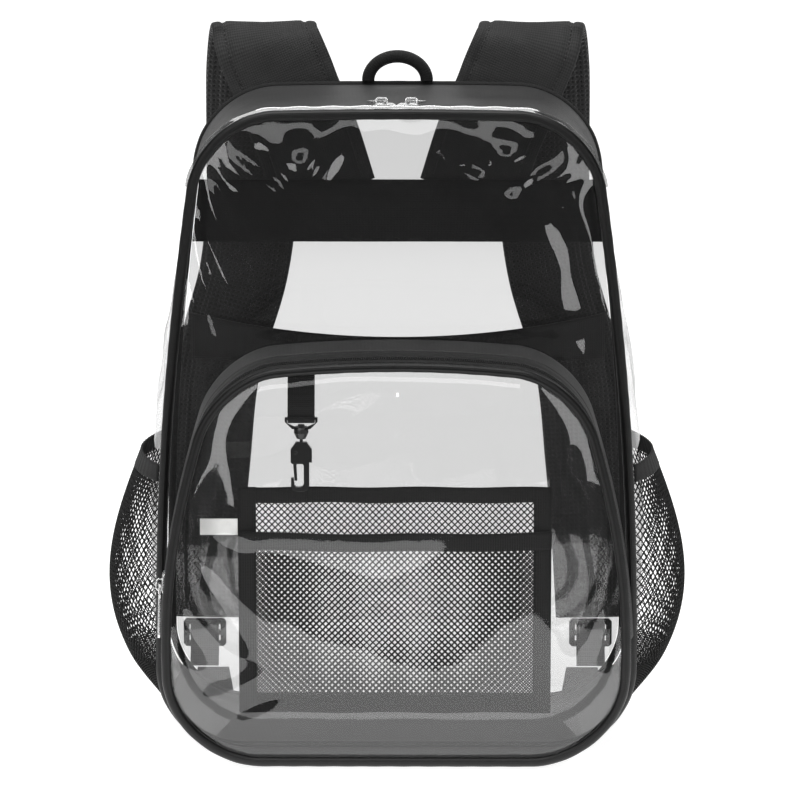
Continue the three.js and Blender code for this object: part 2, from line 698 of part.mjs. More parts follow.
function addKeyHook(clip) {
  const half = hookWidth / 2;
  const pinX = gateSeat - half;
  const pinZ = (hookTop + hookBodyLow) / 2;
  const crook = hookCrook.map(([x, z]) => [x, hookLow + z]);
  const stem = hookCrook[0][0];
  const back = hookCrook.at(-1)[0];
  const bodyOutline = [[half, hookBodyLow + 1], [half, hookTop - 6], [half / 2, hookTop - 1],
    [-half / 2, hookTop - 1], [-half, hookTop - 6], [-half, hookBodyLow + 1], [1 - half, hookBodyLow],
    [stem - 0.7, hookBodyLow], [stem, hookBodyLow - 1.2], ...crook, [back, hookBodyLow + 1]];
  const body = upright(plate(bodyOutline.reverse(), [], hookPlate));
  const neck = turned(swivelNeckRadius, hubTop - hookTop + 3, (hubTop + hookTop - 1) / 2, 10);
  const button = turned(swivelButtonRadius, swivelButtonHeight, hubTop + gap + swivelButtonHeight / 2);
  const slotHalf = gatePlate / 2 + gap;
  const slot = block(-half - 1, 0.5, -slotHalf, slotHalf, hookBodyLow - 2, hookTop - 4.5);
  const pin = new THREE.CylinderGeometry(gatePinRadius, gatePinRadius, hookPlate + 0.8, 12)
    .translate(pinX, 0, pinZ);
  addMesh('key_hook', join(cut(join(body, neck, button), slot), pin), 'plastic', clip);
  const footZ = hookLow + gateFoot - pinZ;
  const gateOutline = [[-2.2, 2.2], [-2.2, -3], [-1.6, -9], [-0.9, footZ], [0.9, footZ], [0.4, -9], [2, -3],
    [2, 2.2]];
  const eye = ovalSection(gatePinRadius + gap, gatePinRadius + gap, 12);
  const gate = addMesh('hook_gate', upright(plate(gateOutline, [eye], gatePlate)), 'plastic', clip);
  gate.position.set(pinX, 0, pinZ);
}

// A zip slider: x along the zipper, y across it, z outward from the coil. Its crown stands over
// the origin and its shoe reaches further back than forward.
const wireSeat = crownSeat + 1.5;

function sliderGeometry() {
  const end = shoeHalfLength;
  const sideView = [[-end, gap], [end, gap], [end, crownSeat / 2], [0.7 * end, crownSeat],
    [-0.7 * end, crownSeat], [-end, crownSeat / 2]];
  const shoe = upright(plate(sideView, [], 2 * shoeHalfWidth)).translate(-crownShift, 0, 0);
  const foot = crownSeat - 0.3;
  const [out, inside] = [crownHalfLength, crownHalfLength - crownWire];
  const crown = [[-out, foot], [-out, crownHeight - 1.4], [1.4 - out, crownHeight],
    [out - 1.4, crownHeight], [out, crownHeight - 1.4], [out, foot], [inside, foot],
    [inside, crownHeight - 1.8], [inside - 0.8, crownHeight - 1], [0.8 - inside, crownHeight - 1],
    [-inside, crownHeight - 1.8], [-inside, foot]];
  return join(shoe, upright(plate(crown.reverse(), [], crownWidth)));
}

// A zip pull: its end wire lies on the y axis and it reaches along +x
function pullGeometry(length, half) {
  const neck = 9;
  const wire = pullWire / 2;
  const outer = [[-wire, 1 - half], [-wire, half - 1], [1, half], [neck - 3, half], [neck, 2.6],
    [length - 2, 2.6], [length, 1.4], [length, -1.4], [length - 2, -2.6], [neck, -2.6],
    [neck - 3, -half], [1, -half]];
  const eye = [[wire, 1.3 - half], [wire, half - 1.3], [neck - 3.6, half - 1.3], [neck - 2.2, 1.6],
    [neck - 2.2, -1.6], [neck - 3.6, 1.3 - half]];
  const slot = [[neck + 1, 1.3], [length - 3, 1.3], [length - 3, -1.3], [neck + 1, -1.3]];
  return plate(outer.reverse(), [eye, slot], pullWire);
}

// Places a slider on a surface: origin on the coil, x along the zipper, z outward
function sliderSeat(origin, along, outward) {
  const seat = new THREE.Group();
  const across = outward.clone().cross(along).normalize();
  const x = across.clone().cross(outward).normalize();
  seat.applyMatrix4(new THREE.Matrix4().makeBasis(x, across, outward.clone().normalize()));
  seat.position.copy(origin);
  group.add(seat);
  return seat;
}

function surfaceFrame(surface, u, v) {
  const step = 1e-3;
  const du = surface(u + step, v).sub(surface(u - step, v)).normalize();
  const dv = surface(u, v + step).sub(surface(u, v - step)).normalize();
  return { p: surface(u, v), along: dv, outward: du.cross(dv).normalize() };
}

function addTopSlider(name, side) {
  const topUnit = frontLine(4).x;
  const station = 5 - side * (sliderSpacing / 2 + crownShift) / topUnit;
  const { p, outward } = surfaceFrame(bodySurface, coilY, station);
  const along = new THREE.Vector3(side, 0, 0);
  const seat = sliderSeat(p.addScaledVector(outward, sheet / 2 + coilRise), along, outward);
  addMesh(`slider_${name}`, sliderGeometry(), 'metal', seat);
  const geometry = pullGeometry(topPullLength, topPullHalfWidth);
  const pull = addMesh(`pull_${name}`, geometry, 'metal', seat);
  pull.position.z = wireSeat;
  const [tilt, skew] = [topPullTilt, side * topPullSkew].map(THREE.MathUtils.degToRad);
  pull.setRotationFromEuler(new THREE.Euler(0, tilt, skew, 'ZYX'));
}

function addPocketSlider() {
  const reversed = (u, s) => pocketSurface(1 - u, s);
  const u = pocketTapeShare / 2;
  const surfaceLine = (s) => seamLine(s).lerp(pocketLine(s), 1 - u);
  const station = 10 - stationAt(surfaceLine, pocketSliderHeight);
  const { p, along, outward } = surfaceFrame(reversed, u, station);
  const seat = sliderSeat(p.addScaledVector(outward, sheet / 2 + coilRise), along, outward);
  addMesh('pocket_slider', sliderGeometry(), 'metal', seat);
  const geometry = pullGeometry(pocketPullLength, pocketPullHalfWidth);
  const pull = addMesh('pocket_pull', geometry, 'metal', seat);
  pull.position.z = wireSeat;
  // The pull hangs straight down, or lies on the coil where the wall leans away
  const down = new THREE.Vector3(0, 0, -1).transformDirection(seat.matrix.clone().invert());
  const lying = -Math.asin((wireSeat - pullWire / 2 - gap) / pocketPullLength);
  pull.rotation.y = -Math.max(Math.atan2(down.z, down.x), lying);
}

// Shoulder strap route: across, depth behind the back panel, height and width as shares of the
// base and end places, the reach, the apex and the strap's width
const strapStations = [
  { across: 0, reach: 0, rise: 0.73, width: 1 },
  { across: 0.14, reach: 0, rise: 0.822, width: 1 },
  { across: 0.28, reach: 0.045, rise: 0.89, width: 1 },
  { across: 0.343, reach: 0.09, rise: 0.924, width: 1 },
  { across: 0.453, reach: 0.22, rise: 0.977, width: 1 },
  { across: 0.49, reach: 0.49, rise: 1, width: 1 },
  { across: 0.523, reach: 0.8, rise: 0.98, width: 1 },
  { across: 0.558, reach: 0.95, rise: 0.924, width: 0.98 },
  { across: 0.58, reach: 1, rise: 0.827, width: 0.94 },
  { across: 0.605, reach: 0.975, rise: 0.706, width: 0.89 },
  { across: 0.675, reach: 0.87, rise: 0.585, width: 0.86 },
  { across: 0.884, reach: 0.745, rise: 0.428, width: 0.83 },
  { across: 0.953, reach: 0.59, rise: 0.271, width: 0.79 },
  { across: 0.99, reach: 0.39, rise: 0.126, width: 0.74 },
  { across: 1, reach: 0.21, rise: 0, width: 0.68 },
];

const strapBackY = backFace + gap + cloth + gap + strapThickness / 2;

function strapCurve(side) {
  return new THREE.CatmullRomCurve3(strapStations.map(({ across, reach, rise }) => new THREE.Vector3(
    side * THREE.MathUtils.lerp(strapBaseX, strapEndX, across),
    THREE.MathUtils.lerp(strapBackY, bodyDepth + strapReach, reach),
    THREE.MathUtils.lerp(strapLow, strapApex, rise),
  )));
}

function addShoulderStrap(name, side) {
  const curve = strapCurve(side);
  const count = 30;
  const frames = framesAlong(curve, count, new THREE.Vector3(1, 0, 0));
  const widthAtShare = (f) => {
    const k = curve.getUtoTmapping(f) * (strapStations.length - 1);
    const i = Math.min(Math.floor(k), strapStations.length - 2);
    return strapWidth * THREE.MathUtils.lerp(strapStations[i].width, strapStations[i + 1].width, k - i);
  };
  const section = (i) => padSection(widthAtShare(i / count), strapThickness, 3);
  addMesh(`shoulder_strap_${name}`, sweep(frames, section), 'nylon');
  const { p, a, b } = frames.at(-1);
  const reach = Math.abs(a.z) * widthAtShare(1) / 2 + Math.abs(b.z) * strapThickness / 2;
  addAdjuster(name, side, p.y, p.z - reach - gap);
}

// The ladder lock hangs under the pad's end, and its webbing runs down to a sewn tab
function addAdjuster(name, side, lockY, lockTop) {
  const x = side * strapEndX;
  const half = lockWidth / 2;
  const frame = chamfered(-half, half, -lockHeight, 0, 2);
  const slotHalf = half - lockRail;
  const slots = [-2 * lockRail, -4 * lockRail].map((low) => [[-slotHalf, low], [slotHalf, low],
    [slotHalf, low + lockRail], [-slotHalf, low + lockRail]]);
  const lock = upright(plate(frame, slots, lockPlate)).translate(x, lockY, lockTop);
  addMesh(`ladder_lock_${name}`, lock, 'plastic');
  const tabY = backFace + bindingHalfDepth + gap + webbing / 2;
  const [tabFoot, tabTop] = [anchorWidth / 2, slotHalf];
  const tab = upright(plate([[-tabFoot, anchorLow], [tabFoot, anchorLow], [tabTop, anchorHigh],
    [-tabTop, anchorHigh]], [], webbing));
  addMesh(`strap_anchor_${name}`, tab.translate(x - side * anchorInset, tabY, 0), 'webbing');
  const behind = lockY - lockPlate / 2 - gap - webbing / 2;
  const lockLow = lockTop - lockHeight;
  const route = [[tabY, anchorHigh + webbing / 2 + gap], [behind - webbing, lockLow - webbing],
    [behind - gap, lockLow + lockPlate], [behind - gap, lockTop - 1]];
  const curve = new THREE.CatmullRomCurve3(route.map(([y, z]) => new THREE.Vector3(x, y, z)));
  const frames = framesAlong(curve, 6, new THREE.Vector3(1, 0, 0));
  addMesh(`strap_webbing_${name}`, sweep(frames, padSection(2 * slotHalf - 2, webbing, 0.4)), 'webbing');
}

function addHandle() {
  const foot = rearLine(5).y + bindingHalfHeight + gap;
  const frames = shares(16).map((f) => {
    const angle = Math.PI * f;
    return {
      p: new THREE.Vector3(handleHalfSpan * Math.cos(angle), bodyDepth, foot + handleRise * Math.sin(angle)),
      a: new THREE.Vector3(Math.cos(angle), 0, Math.sin(angle)),
      b: new THREE.Vector3(0, 1, 0),
    };
  });
  addMesh('haul_handle', sweep(frames, ovalSection(handleThickness / 2, handleDepth / 2, 8)), 'webbing');
}

addBody();
addBottom();
addClosure();
addPocketWalls();
addPocketFront();
addBackBand();
addSleeve();
addSidePocket('right', 1);
addSidePocket('left', -1);
addOrganizer();
addKeyClip();
addTopSlider('right', 1);
addTopSlider('left', -1);
addPocketSlider();
addShoulderStrap('right', 1);
addShoulderStrap('left', -1);
addHandle();

// The origin is the middle of the footprint, on the ground
group.updateMatrixWorld(true);
const box = new THREE.Box3().setFromObject(group, true);
group.position.set(-(box.min.x + box.max.x) / 2, -(box.min.y + box.max.y) / 2, -box.min.z);

export default group;
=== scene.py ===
"""A clear stadium backpack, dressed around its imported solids.

See-through vinyl panels, black piping and webbing, nylon top and bottom, net pockets and padded
straps. Sizes are in millimetres from the plane of the front panel's seam, with +X to the right as
seen from the front, +Y towards the back panel and +Z up. Meshes are made in metres in the frame.
"""

from __future__ import annotations

import logging
import math
from collections.abc import Callable
from dataclasses import dataclass, field
from enum import Enum

import bpy
import numpy as np
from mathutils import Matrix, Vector

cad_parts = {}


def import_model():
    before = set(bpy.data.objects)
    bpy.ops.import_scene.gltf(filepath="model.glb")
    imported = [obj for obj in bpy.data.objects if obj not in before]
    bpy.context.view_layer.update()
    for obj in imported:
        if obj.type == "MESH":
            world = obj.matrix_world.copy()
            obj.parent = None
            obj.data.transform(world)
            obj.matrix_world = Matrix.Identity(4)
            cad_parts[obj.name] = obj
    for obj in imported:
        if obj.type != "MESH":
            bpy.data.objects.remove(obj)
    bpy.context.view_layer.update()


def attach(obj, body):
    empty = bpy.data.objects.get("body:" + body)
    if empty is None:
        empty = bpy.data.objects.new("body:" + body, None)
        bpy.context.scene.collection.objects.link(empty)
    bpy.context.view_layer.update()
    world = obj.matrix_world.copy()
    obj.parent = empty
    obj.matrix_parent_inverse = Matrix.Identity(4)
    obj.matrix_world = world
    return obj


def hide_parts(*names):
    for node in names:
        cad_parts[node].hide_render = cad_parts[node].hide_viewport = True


LOG = logging.getLogger("backpack")
MM = 0.001
FRONT_SEAM = 66.02465  # the front seam's plane, in mm in front of the frame's origin
STITCH = 3.4  # mm from one needle hole to the next
Tree = bpy.types.NodeTree
Socket = bpy.types.NodeSocket
Object = bpy.types.Object
Array = np.ndarray
Surface = Callable[[Array, Array], Array]  # two sets of shares to points in millimetres


class Body(Enum):
    """The rigid bodies that pieces ride on."""

    BAG = "bag"
    HOOK = "swivel_hook"
    GATE = "gate"
    PULL_RIGHT = "pull_right_body"
    PULL_LEFT = "pull_left_body"
    POCKET_PULL = "pocket_pull_body"


class Slot(Enum):
    """The record's material slots."""

    VINYL = "clear_pvc"
    PIPING = "piping"
    NYLON = "nylon"
    PADDED = "padded_nylon"
    TAPE = "zipper_tape"
    WEBBING = "webbing"
    NET = "net"
    LABEL = "label"
    PLASTIC = "black_plastic"
    METAL = "zip_metal"


# ---- shader helpers ----


def linear(colour: str) -> tuple[float, float, float, float]:
    """Turns an sRGB hex colour into a linear RGBA.

    Args:
        colour: six hex digits, such as "3a3a3a".

    Returns:
        The colour in linear light, with alpha 1.
    """
    parts = [int(colour[i : i + 2], 16) / 255 for i in (0, 2, 4)]
    low = [c / 12.92 if c <= 0.04045 else ((c + 0.055) / 1.055) ** 2.4 for c in parts]
    return (*low, 1.0)


def add_node(
    tree: Tree, kind: str, values: dict | None = None, links: dict | None = None, **settings: object
) -> bpy.types.Node:
    """Adds a node with its settings and links.

    Args:
        tree: the node tree it goes in.
        kind: the node's type name, without its ShaderNode prefix.
        values: input name or index to its plain value.
        links: input name or index to the socket that feeds it.
        settings: the node's own properties.

    Returns:
        The new node.
    """
    made = tree.nodes.new("ShaderNode" + kind)
    for name, value in settings.items():
        setattr(made, name, value)
    for name, value in (values or {}).items():
        made.inputs[name].default_value = value
    for name, source in (links or {}).items():
        tree.links.new(source, made.inputs[name])
    return made


@dataclass(frozen=True)
class Finish:
    """A surface's look. Subclasses build its nodes."""

    name: str

    def build(self) -> bpy.types.Material:
        """Makes the material, or finds the one already made under this name.

        Returns:
            The material.
        """
        made = bpy.data.materials.get(self.name)
        if made is None:
            made = bpy.data.materials.new(self.name)
            made.use_nodes = True
            made.node_tree.nodes.clear()
            surface = self.surface(made.node_tree)
            add_node(made.node_tree, "OutputMaterial", links={"Surface": surface})
        return made

    def surface(self, tree: Tree) -> Socket:
        """Builds the shader.

        Args:
            tree: the material's node tree.

        Returns:
            The shader's socket.
        """
        raise NotImplementedError


@dataclass(frozen=True)
class WovenCloth(Finish):
    """Woven or knitted yarn: matt, with a lattice of threads and uneven dye.

    The lattice gives the eye a fine grain, with painted shade in the gaps between threads and
    painted light on their crowns, and the dye's slow change keeps it from looking flat.
    """

    colour: str = "3a3a3a"
    roughness: float = 0.85
    thread: tuple[float, float, float] = (1.1, 1.1, 1.1)  # mm, coarser than real so that it shows
    relief: float = 0.12  # mm
    sheen: float = 0.15
    # how far the colour follows the threads' height: painted shade in the gaps, painted light on
    # the crowns
    thread_shade: float = 0.35
    cloth_uv: bool = True

    def surface(self, tree: Tree) -> Socket:
        """Builds the cloth's shader.

        Args:
            tree: the material's node tree.

        Returns:
            The shader's socket.
        """
        where = add_node(tree, "TexCoord")
        source = where.outputs["UV" if self.cloth_uv else "Object"]
        turns = [2 * math.pi / (pitch * MM) for pitch in self.thread]
        scaled = add_node(tree, "VectorMath", {1: turns}, {0: source}, operation="MULTIPLY")
        waves = add_node(tree, "VectorMath", links={0: scaled.outputs[0]}, operation="SINE")
        ones = {1: (0.5, 0.5, 0.5)}
        height = add_node(tree, "VectorMath", ones, {0: waves.outputs[0]}, operation="DOT_PRODUCT")
        dye = add_node(
            tree, "TexNoise", {"Scale": 38.0, "Detail": 4.0}, {"Vector": where.outputs["Object"]}
        )
        bump = add_node(
            tree, "Bump", {"Strength": 0.8, "Distance": self.relief * MM},
            {"Height": height.outputs["Value"]},
        )
        # the colour follows the threads' height: painted shade in the gaps between threads, painted
        # light on their crowns
        light = add_node(
            tree, "MapRange", {1: -1.0, 2: 1.0, 3: 1 - self.thread_shade, 4: 1 + self.thread_shade},
            {0: height.outputs["Value"]},
        )
        uneven = add_node(tree, "MapRange", {1: 0.3, 2: 0.7, 3: 0.8, 4: 1.2}, {0: dye.outputs[0]})
        shade = add_node(
            tree, "Math", links={0: light.outputs[0], 1: uneven.outputs[0]}, operation="MULTIPLY"
        )
        tone = add_node(
            tree, "VectorMath", {0: linear(self.colour)[:3]}, {"Scale": shade.outputs[0]},
            operation="SCALE",
        )
        return add_node(
            tree, "BsdfPrincipled",
            {"Roughness": self.roughness, "Sheen Weight": self.sheen, "IOR": 1.36},
            {"Base Color": tone.outputs[0], "Normal": bump.outputs[0]},
        ).outputs[0]


@dataclass(frozen=True)
class AirMesh(Finish):
    """Spacer mesh on the straps' inner face: round holes in a knitted skin, with painted shade near
    black inside them.
    """

    colour: str = "2c2c2c"
    hole: float = 3.2  # mm from hole to hole

    def surface(self, tree: Tree) -> Socket:
        """Builds the mesh's shader.

        Args:
            tree: the material's node tree.

        Returns:
            The shader's socket.
        """
        where = add_node(tree, "TexCoord")
        cells = add_node(
            tree, "TexVoronoi", {"Scale": 1 / (self.hole * MM), "Randomness": 0.12},
            {"Vector": where.outputs["UV"]}, voronoi_dimensions="2D",
        )
        skin = add_node(
            tree, "MapRange", {1: 0.2, 2: 0.42, 3: 0.0, 4: 1.0}, {0: cells.outputs["Distance"]}
        )
        # the holes get 0.18 of the skin's colour: painted shade inside them
        tone = add_node(tree, "MapRange", {3: 0.18, 4: 1.0}, {0: skin.outputs[0]})
        colour = add_node(
            tree, "VectorMath", {0: linear(self.colour)[:3]}, {"Scale": tone.outputs[0]},
            operation="SCALE",
        )
        bump = add_node(
            tree, "Bump", {"Strength": 1.0, "Distance": 0.9 * MM}, {"Height": skin.outputs[0]}
        )
        return add_node(
            tree, "BsdfPrincipled", {"Roughness": 0.8, "Sheen Weight": 0.2},
            {"Base Color": colour.outputs[0], "Normal": bump.outputs[0]},
        ).outputs[0]


@dataclass(frozen=True)
class Moulded(Finish):
    """Moulded or plated hard parts: smooth, with a faint unevenness in their gloss."""

    colour: str = "141414"
    metallic: float = 0.0
    roughness: float = 0.35
    grain: float = 900.0  # per metre

    def surface(self, tree: Tree) -> Socket:
        """Builds the hard part's shader.

        Args:
            tree: the material's node tree.

        Returns:
            The shader's socket.
        """
        where = add_node(tree, "TexCoord")
        noise = add_node(
            tree, "TexNoise", {"Scale": self.grain, "Detail": 3.0},
            {"Vector": where.outputs["Object"]},
        )
        gloss = add_node(
            tree, "MapRange", {3: self.roughness * 0.75, 4: self.roughness * 1.3},
            {0: noise.outputs[0]},
        )
        bump = add_node(
            tree, "Bump", {"Strength": 0.25, "Distance": 0.03 * MM}, {"Height": noise.outputs[0]}
        )
        return add_node(
            tree, "BsdfPrincipled", {"Base Color": linear(self.colour), "Metallic": self.metallic},
            {"Roughness": gloss.outputs[0], "Normal": bump.outputs[0]},
        ).outputs[0]


@dataclass(frozen=True)
class ClearVinyl(Finish):
    """Calendered PVC sheet: clear, with a mirror-like face on both sides and slight ripples.

    Each sheet passes most light and mirrors a little, more at a glancing angle. What shows is
    mostly what it mirrors: the bright table low down, the lamps at its curved edges.
    """

    passes: str = "fdfdfd"
    mirror: float = 0.055
    ripple: float = 0.10  # mm
    roughness: float = 0.035

    def surface(self, tree: Tree) -> Socket:
        """Builds the sheet's shader.

        Args:
            tree: the material's node tree.

        Returns:
            The shader's socket.
        """
        where = add_node(tree, "TexCoord")
        noise = add_node(
            tree, "TexNoise", {"Scale": 34.0, "Detail": 2.0, "Distortion": 0.6},
            {"Vector": where.outputs["Object"]},
        )
        bump = add_node(
            tree, "Bump", {"Strength": 1.0, "Distance": self.ripple * MM},
            {"Height": noise.outputs[0]},
        )
        facing = add_node(tree, "LayerWeight", {"Blend": 0.5}, {"Normal": bump.outputs[0]})
        steep = add_node(tree, "Math", {1: 5.0}, {0: facing.outputs["Facing"]}, operation="POWER")
        share = add_node(tree, "MapRange", {3: self.mirror, 4: 0.9}, {0: steep.outputs[0]})
        clear = add_node(tree, "BsdfTransparent", {"Color": linear(self.passes)})
        gloss = add_node(
            tree, "BsdfPrincipled",
            {"Base Color": linear("f8f8f8"), "Metallic": 1.0, "Roughness": self.roughness},
            {"Normal": bump.outputs[0]},
        )
        return add_node(
            tree, "MixShader",
            links={0: share.outputs[0], 1: clear.outputs[0], 2: gloss.outputs[0]},
        ).outputs[0]


# coated pack cloth: a faint lattice and a broad soft shine on the top and arch
OXFORD = WovenCloth("oxford_nylon", "2b2b2b", 0.58, (0.9, 0.9, 0.9), 0.10, 0.03, 0.25)
# the straps' heavier weave: its grain shows through the strongest painted shade between its
# threads, and it stays matt
PADDED = WovenCloth("padded_oxford", "242424", 0.75, (1.6, 1.6, 1.6), 0.13, 0.02, 0.50)
# cloth drawn tight over cord: near black, with one soft line of light
PIPED = WovenCloth("piping_weave", "050505", 0.42, (1.2, 1.2, 1.2), 0.08, 0.0, 0.25)
# ribbed webbing and bindings: the darkest cloth, with ribs across
BOUND = WovenCloth("ribbed_webbing", "111111", 0.8, (1.6, 1.0, 1.0), 0.16, 0.04, 0.35)
# zipper tape: fine and dull beside the coil
TAPED = WovenCloth("woven_tape", "191919", 0.75, (1.0, 1.0, 1.0), 0.10, 0.05, 0.3)
# the nets' yarn: thin black lines against the light
YARN = WovenCloth("net_yarn", "121212", 0.7, (0.9, 0.9, 0.9), 0.05, 0.05, 0.2, cloth_uv=False)
# sewing thread: a dotted line a little lighter than its cloth
THREAD = WovenCloth("sewing_thread", "242424", 0.6, (0.7, 0.7, 0.7), 0.05, 0.1, 0.2, cloth_uv=False)
# the blank label: smooth and off white
SATIN = WovenCloth("satin_label", "ececea", 0.5, (0.8, 0.8, 0.8), 0.04, 0.1, 0.04, cloth_uv=False)
# webbing on hard parts' copies, which have no cloth UV
WEB_SOLID = WovenCloth(
    "webbing_solid", "111111", 0.8, (1.3, 1.3, 1.3), 0.16, 0.04, 0.35, cloth_uv=False
)
# the zipper's nylon coil: small glints along a black line
COIL = Moulded("nylon_coil", "191919", 0.0, 0.42)
# moulded clips and adjusters: smooth black with soft glints
ACETAL = Moulded("moulded_acetal", "0f0f0f", 0.0, 0.32)
# sliders and pulls: bright metal, the only shiny hard parts
ZINC = Moulded("plated_zinc", "f0f0f0", 1.0, 0.26)
# air mesh on the straps' inner face: rows of holes darkened with painted shade
SPACER = AirMesh("air_mesh", "1f1f1f")
# the clear sheets: almost only what they mirror
VINYL = ClearVinyl("clear_vinyl")
# the side sheets: more rippled and a little glossier
VINYL_SIDE = ClearVinyl("clear_vinyl_side", "fbfbfb", 0.07, 0.22)
# the back sheet: its grey tint sets the tone of all that's seen through the bag
VINYL_BACK = ClearVinyl("clear_vinyl_back", "cacaca", 0.055, 0.10)
# the folded strip over the top: its fold catches the lamp as a bright line
VINYL_STRIP = ClearVinyl("clear_vinyl_strip", "e6e6e6", 0.27, 0.10)


# ---- shape helpers, in millimetres ----


def mesh_object(name: str, points: Array, faces: Array, uv: Array | None = None) -> Object:
    """Makes an object from points in millimetres.

    Args:
        name: the piece's name.
        points: any array whose last axis is x, y, z.
        faces: one row of point numbers per face.
        uv: one pair per point in metres along the cloth, or None.

    Returns:
        The new object, smooth shaded and linked to the scene.
    """
    flat = np.array(points, float).reshape(-1, 3)
    flat[:, 1] -= FRONT_SEAM
    mesh = bpy.data.meshes.new(name)
    mesh.from_pydata((flat * MM).tolist(), [], np.asarray(faces).tolist())
    mesh.polygons.foreach_set("use_smooth", [True] * len(mesh.polygons))
    if uv is not None:
        layer = mesh.uv_layers.new(name="cloth")
        loops = np.zeros(len(mesh.loops), np.int32)
        mesh.loops.foreach_get("vertex_index", loops)
        layer.data.foreach_set("uv", np.asarray(uv, float).reshape(-1, 2)[loops].ravel())
    mesh.update()
    made = bpy.data.objects.new(name, mesh)
    bpy.context.scene.collection.objects.link(made)
    return made


def grid_faces(rows: int, columns: int, wrap: bool = False) -> Array:
    """Quads between the points of a grid.

    Args:
        rows: points along the first axis.
        columns: points along the second axis.
        wrap: True if the last column joins the first.

    Returns:
        One row of four point numbers per quad.
    """
    i, j = np.meshgrid(
        np.arange(rows - 1), np.arange(columns if wrap else columns - 1), indexing="ij"
    )
    k = (j + 1) % columns
    quads = [i * columns + j, (i + 1) * columns + j, (i + 1) * columns + k, i * columns + k]
    return np.stack(quads, -1).reshape(-1, 4)


def lengths(points: Array) -> Array:
    """Measures a grid of points along both of its axes.

    Args:
        points: rows x columns x 3, in millimetres.

    Returns:
        UV pairs in metres, one per point.
    """
    down = np.linalg.norm(np.diff(points, axis=0), axis=-1).mean(1)
    along = np.linalg.norm(np.diff(points, axis=1), axis=-1).mean(0)
    u, v = (np.concatenate([[0.0], np.cumsum(step)]) * MM for step in (down, along))
    return np.stack(np.meshgrid(u, v, indexing="ij"), -1)


def normals(points: Array) -> Array:
    """Finds the unit normals of a grid of points, first axis x second axis.

    Args:
        points: rows x columns x 3.

    Returns:
        One unit vector per point.
    """
    cross = np.cross(np.gradient(points, axis=0), np.gradient(points, axis=1))
    return cross / np.linalg.norm(cross, axis=-1, keepdims=True)


def prisms(starts: Array, ends: Array, radius: float, sides: int = 3) -> tuple[Array, Array]:
    """Short round rods between pairs of points, such as yarn, stitches and coil.

    Args:
        starts: one point per rod.
        ends: the other end of each.
        radius: half the rod's width.
        sides: flats round it.

    Returns:
        The rods' points and faces.
    """
    along = ends - starts
    along /= np.maximum(np.linalg.norm(along, axis=1, keepdims=True), 1e-9)
    guide = np.where(np.abs(along[:, :1]) < 0.8, [[1.0, 0.0, 0.0]], [[0.0, 0.0, 1.0]])
    a = np.cross(along, guide)
    a /= np.linalg.norm(a, axis=1, keepdims=True)
    b = np.cross(along, a)
    turn = 2 * np.pi * np.arange(sides) / sides
    ring = np.cos(turn)[None, :, None] * a[:, None] + np.sin(turn)[None, :, None] * b[:, None]
    points = np.stack([starts[:, None] + ring * radius, ends[:, None] + ring * radius], 1)
    base = (np.arange(len(starts)) * 2 * sides)[:, None]
    j = np.arange(sides)
    k = (j + 1) % sides
    quads = np.stack([base + j, base + k, base + sides + k, base + sides + j], -1)
    caps = []
    if sides == 4:
        caps = [base + np.array([3, 2, 1, 0]), base + sides + np.array([0, 1, 2, 3])]
    faces = np.concatenate([quads.reshape(-1, 4), *[c.reshape(-1, 4) for c in caps]])
    return points.reshape(-1, 3), faces


def tube(path: Array, across: Array, radii: tuple[float, float], sides: int = 12) -> Array:
    """A closed oval tube round a closed path.

    Args:
        path: the points that it follows, once round.
        across: a unit vector at each point, along the section's first radius.
        radii: half sizes across the path in that direction and square to it.
        sides: flats round the section.

    Returns:
        A closed grid of points, round the path by round the section.
    """
    ahead = np.roll(path, -1, 0) - np.roll(path, 1, 0)
    ahead /= np.linalg.norm(ahead, axis=1, keepdims=True)
    up = np.cross(ahead, across)
    turn = 2 * np.pi * np.arange(sides) / sides
    first = np.cos(turn)[None, :, None] * across[:, None] * radii[0]
    second = np.sin(turn)[None, :, None] * up[:, None] * radii[1]
    return path[:, None] + first + second


def arched(share: Array, power: float = 1.0) -> Array:
    """Rises from 0 to 1 halfway and falls back to 0.

    Args:
        share: places from 0 to 1.
        power: below 1 for a fuller arch, above 1 for a narrower one.

    Returns:
        The height at each place.
    """
    return np.sin(np.pi * np.clip(share, 0.0, 1.0)) ** power


def lerp(a: float | Array, b: float | Array, share: float | Array) -> float | Array:
    """Finds a value between two others.

    Args:
        a: the value at 0.
        b: the value at 1.
        share: how far from a to b.

    Returns:
        The value there.
    """
    return a + (b - a) * share


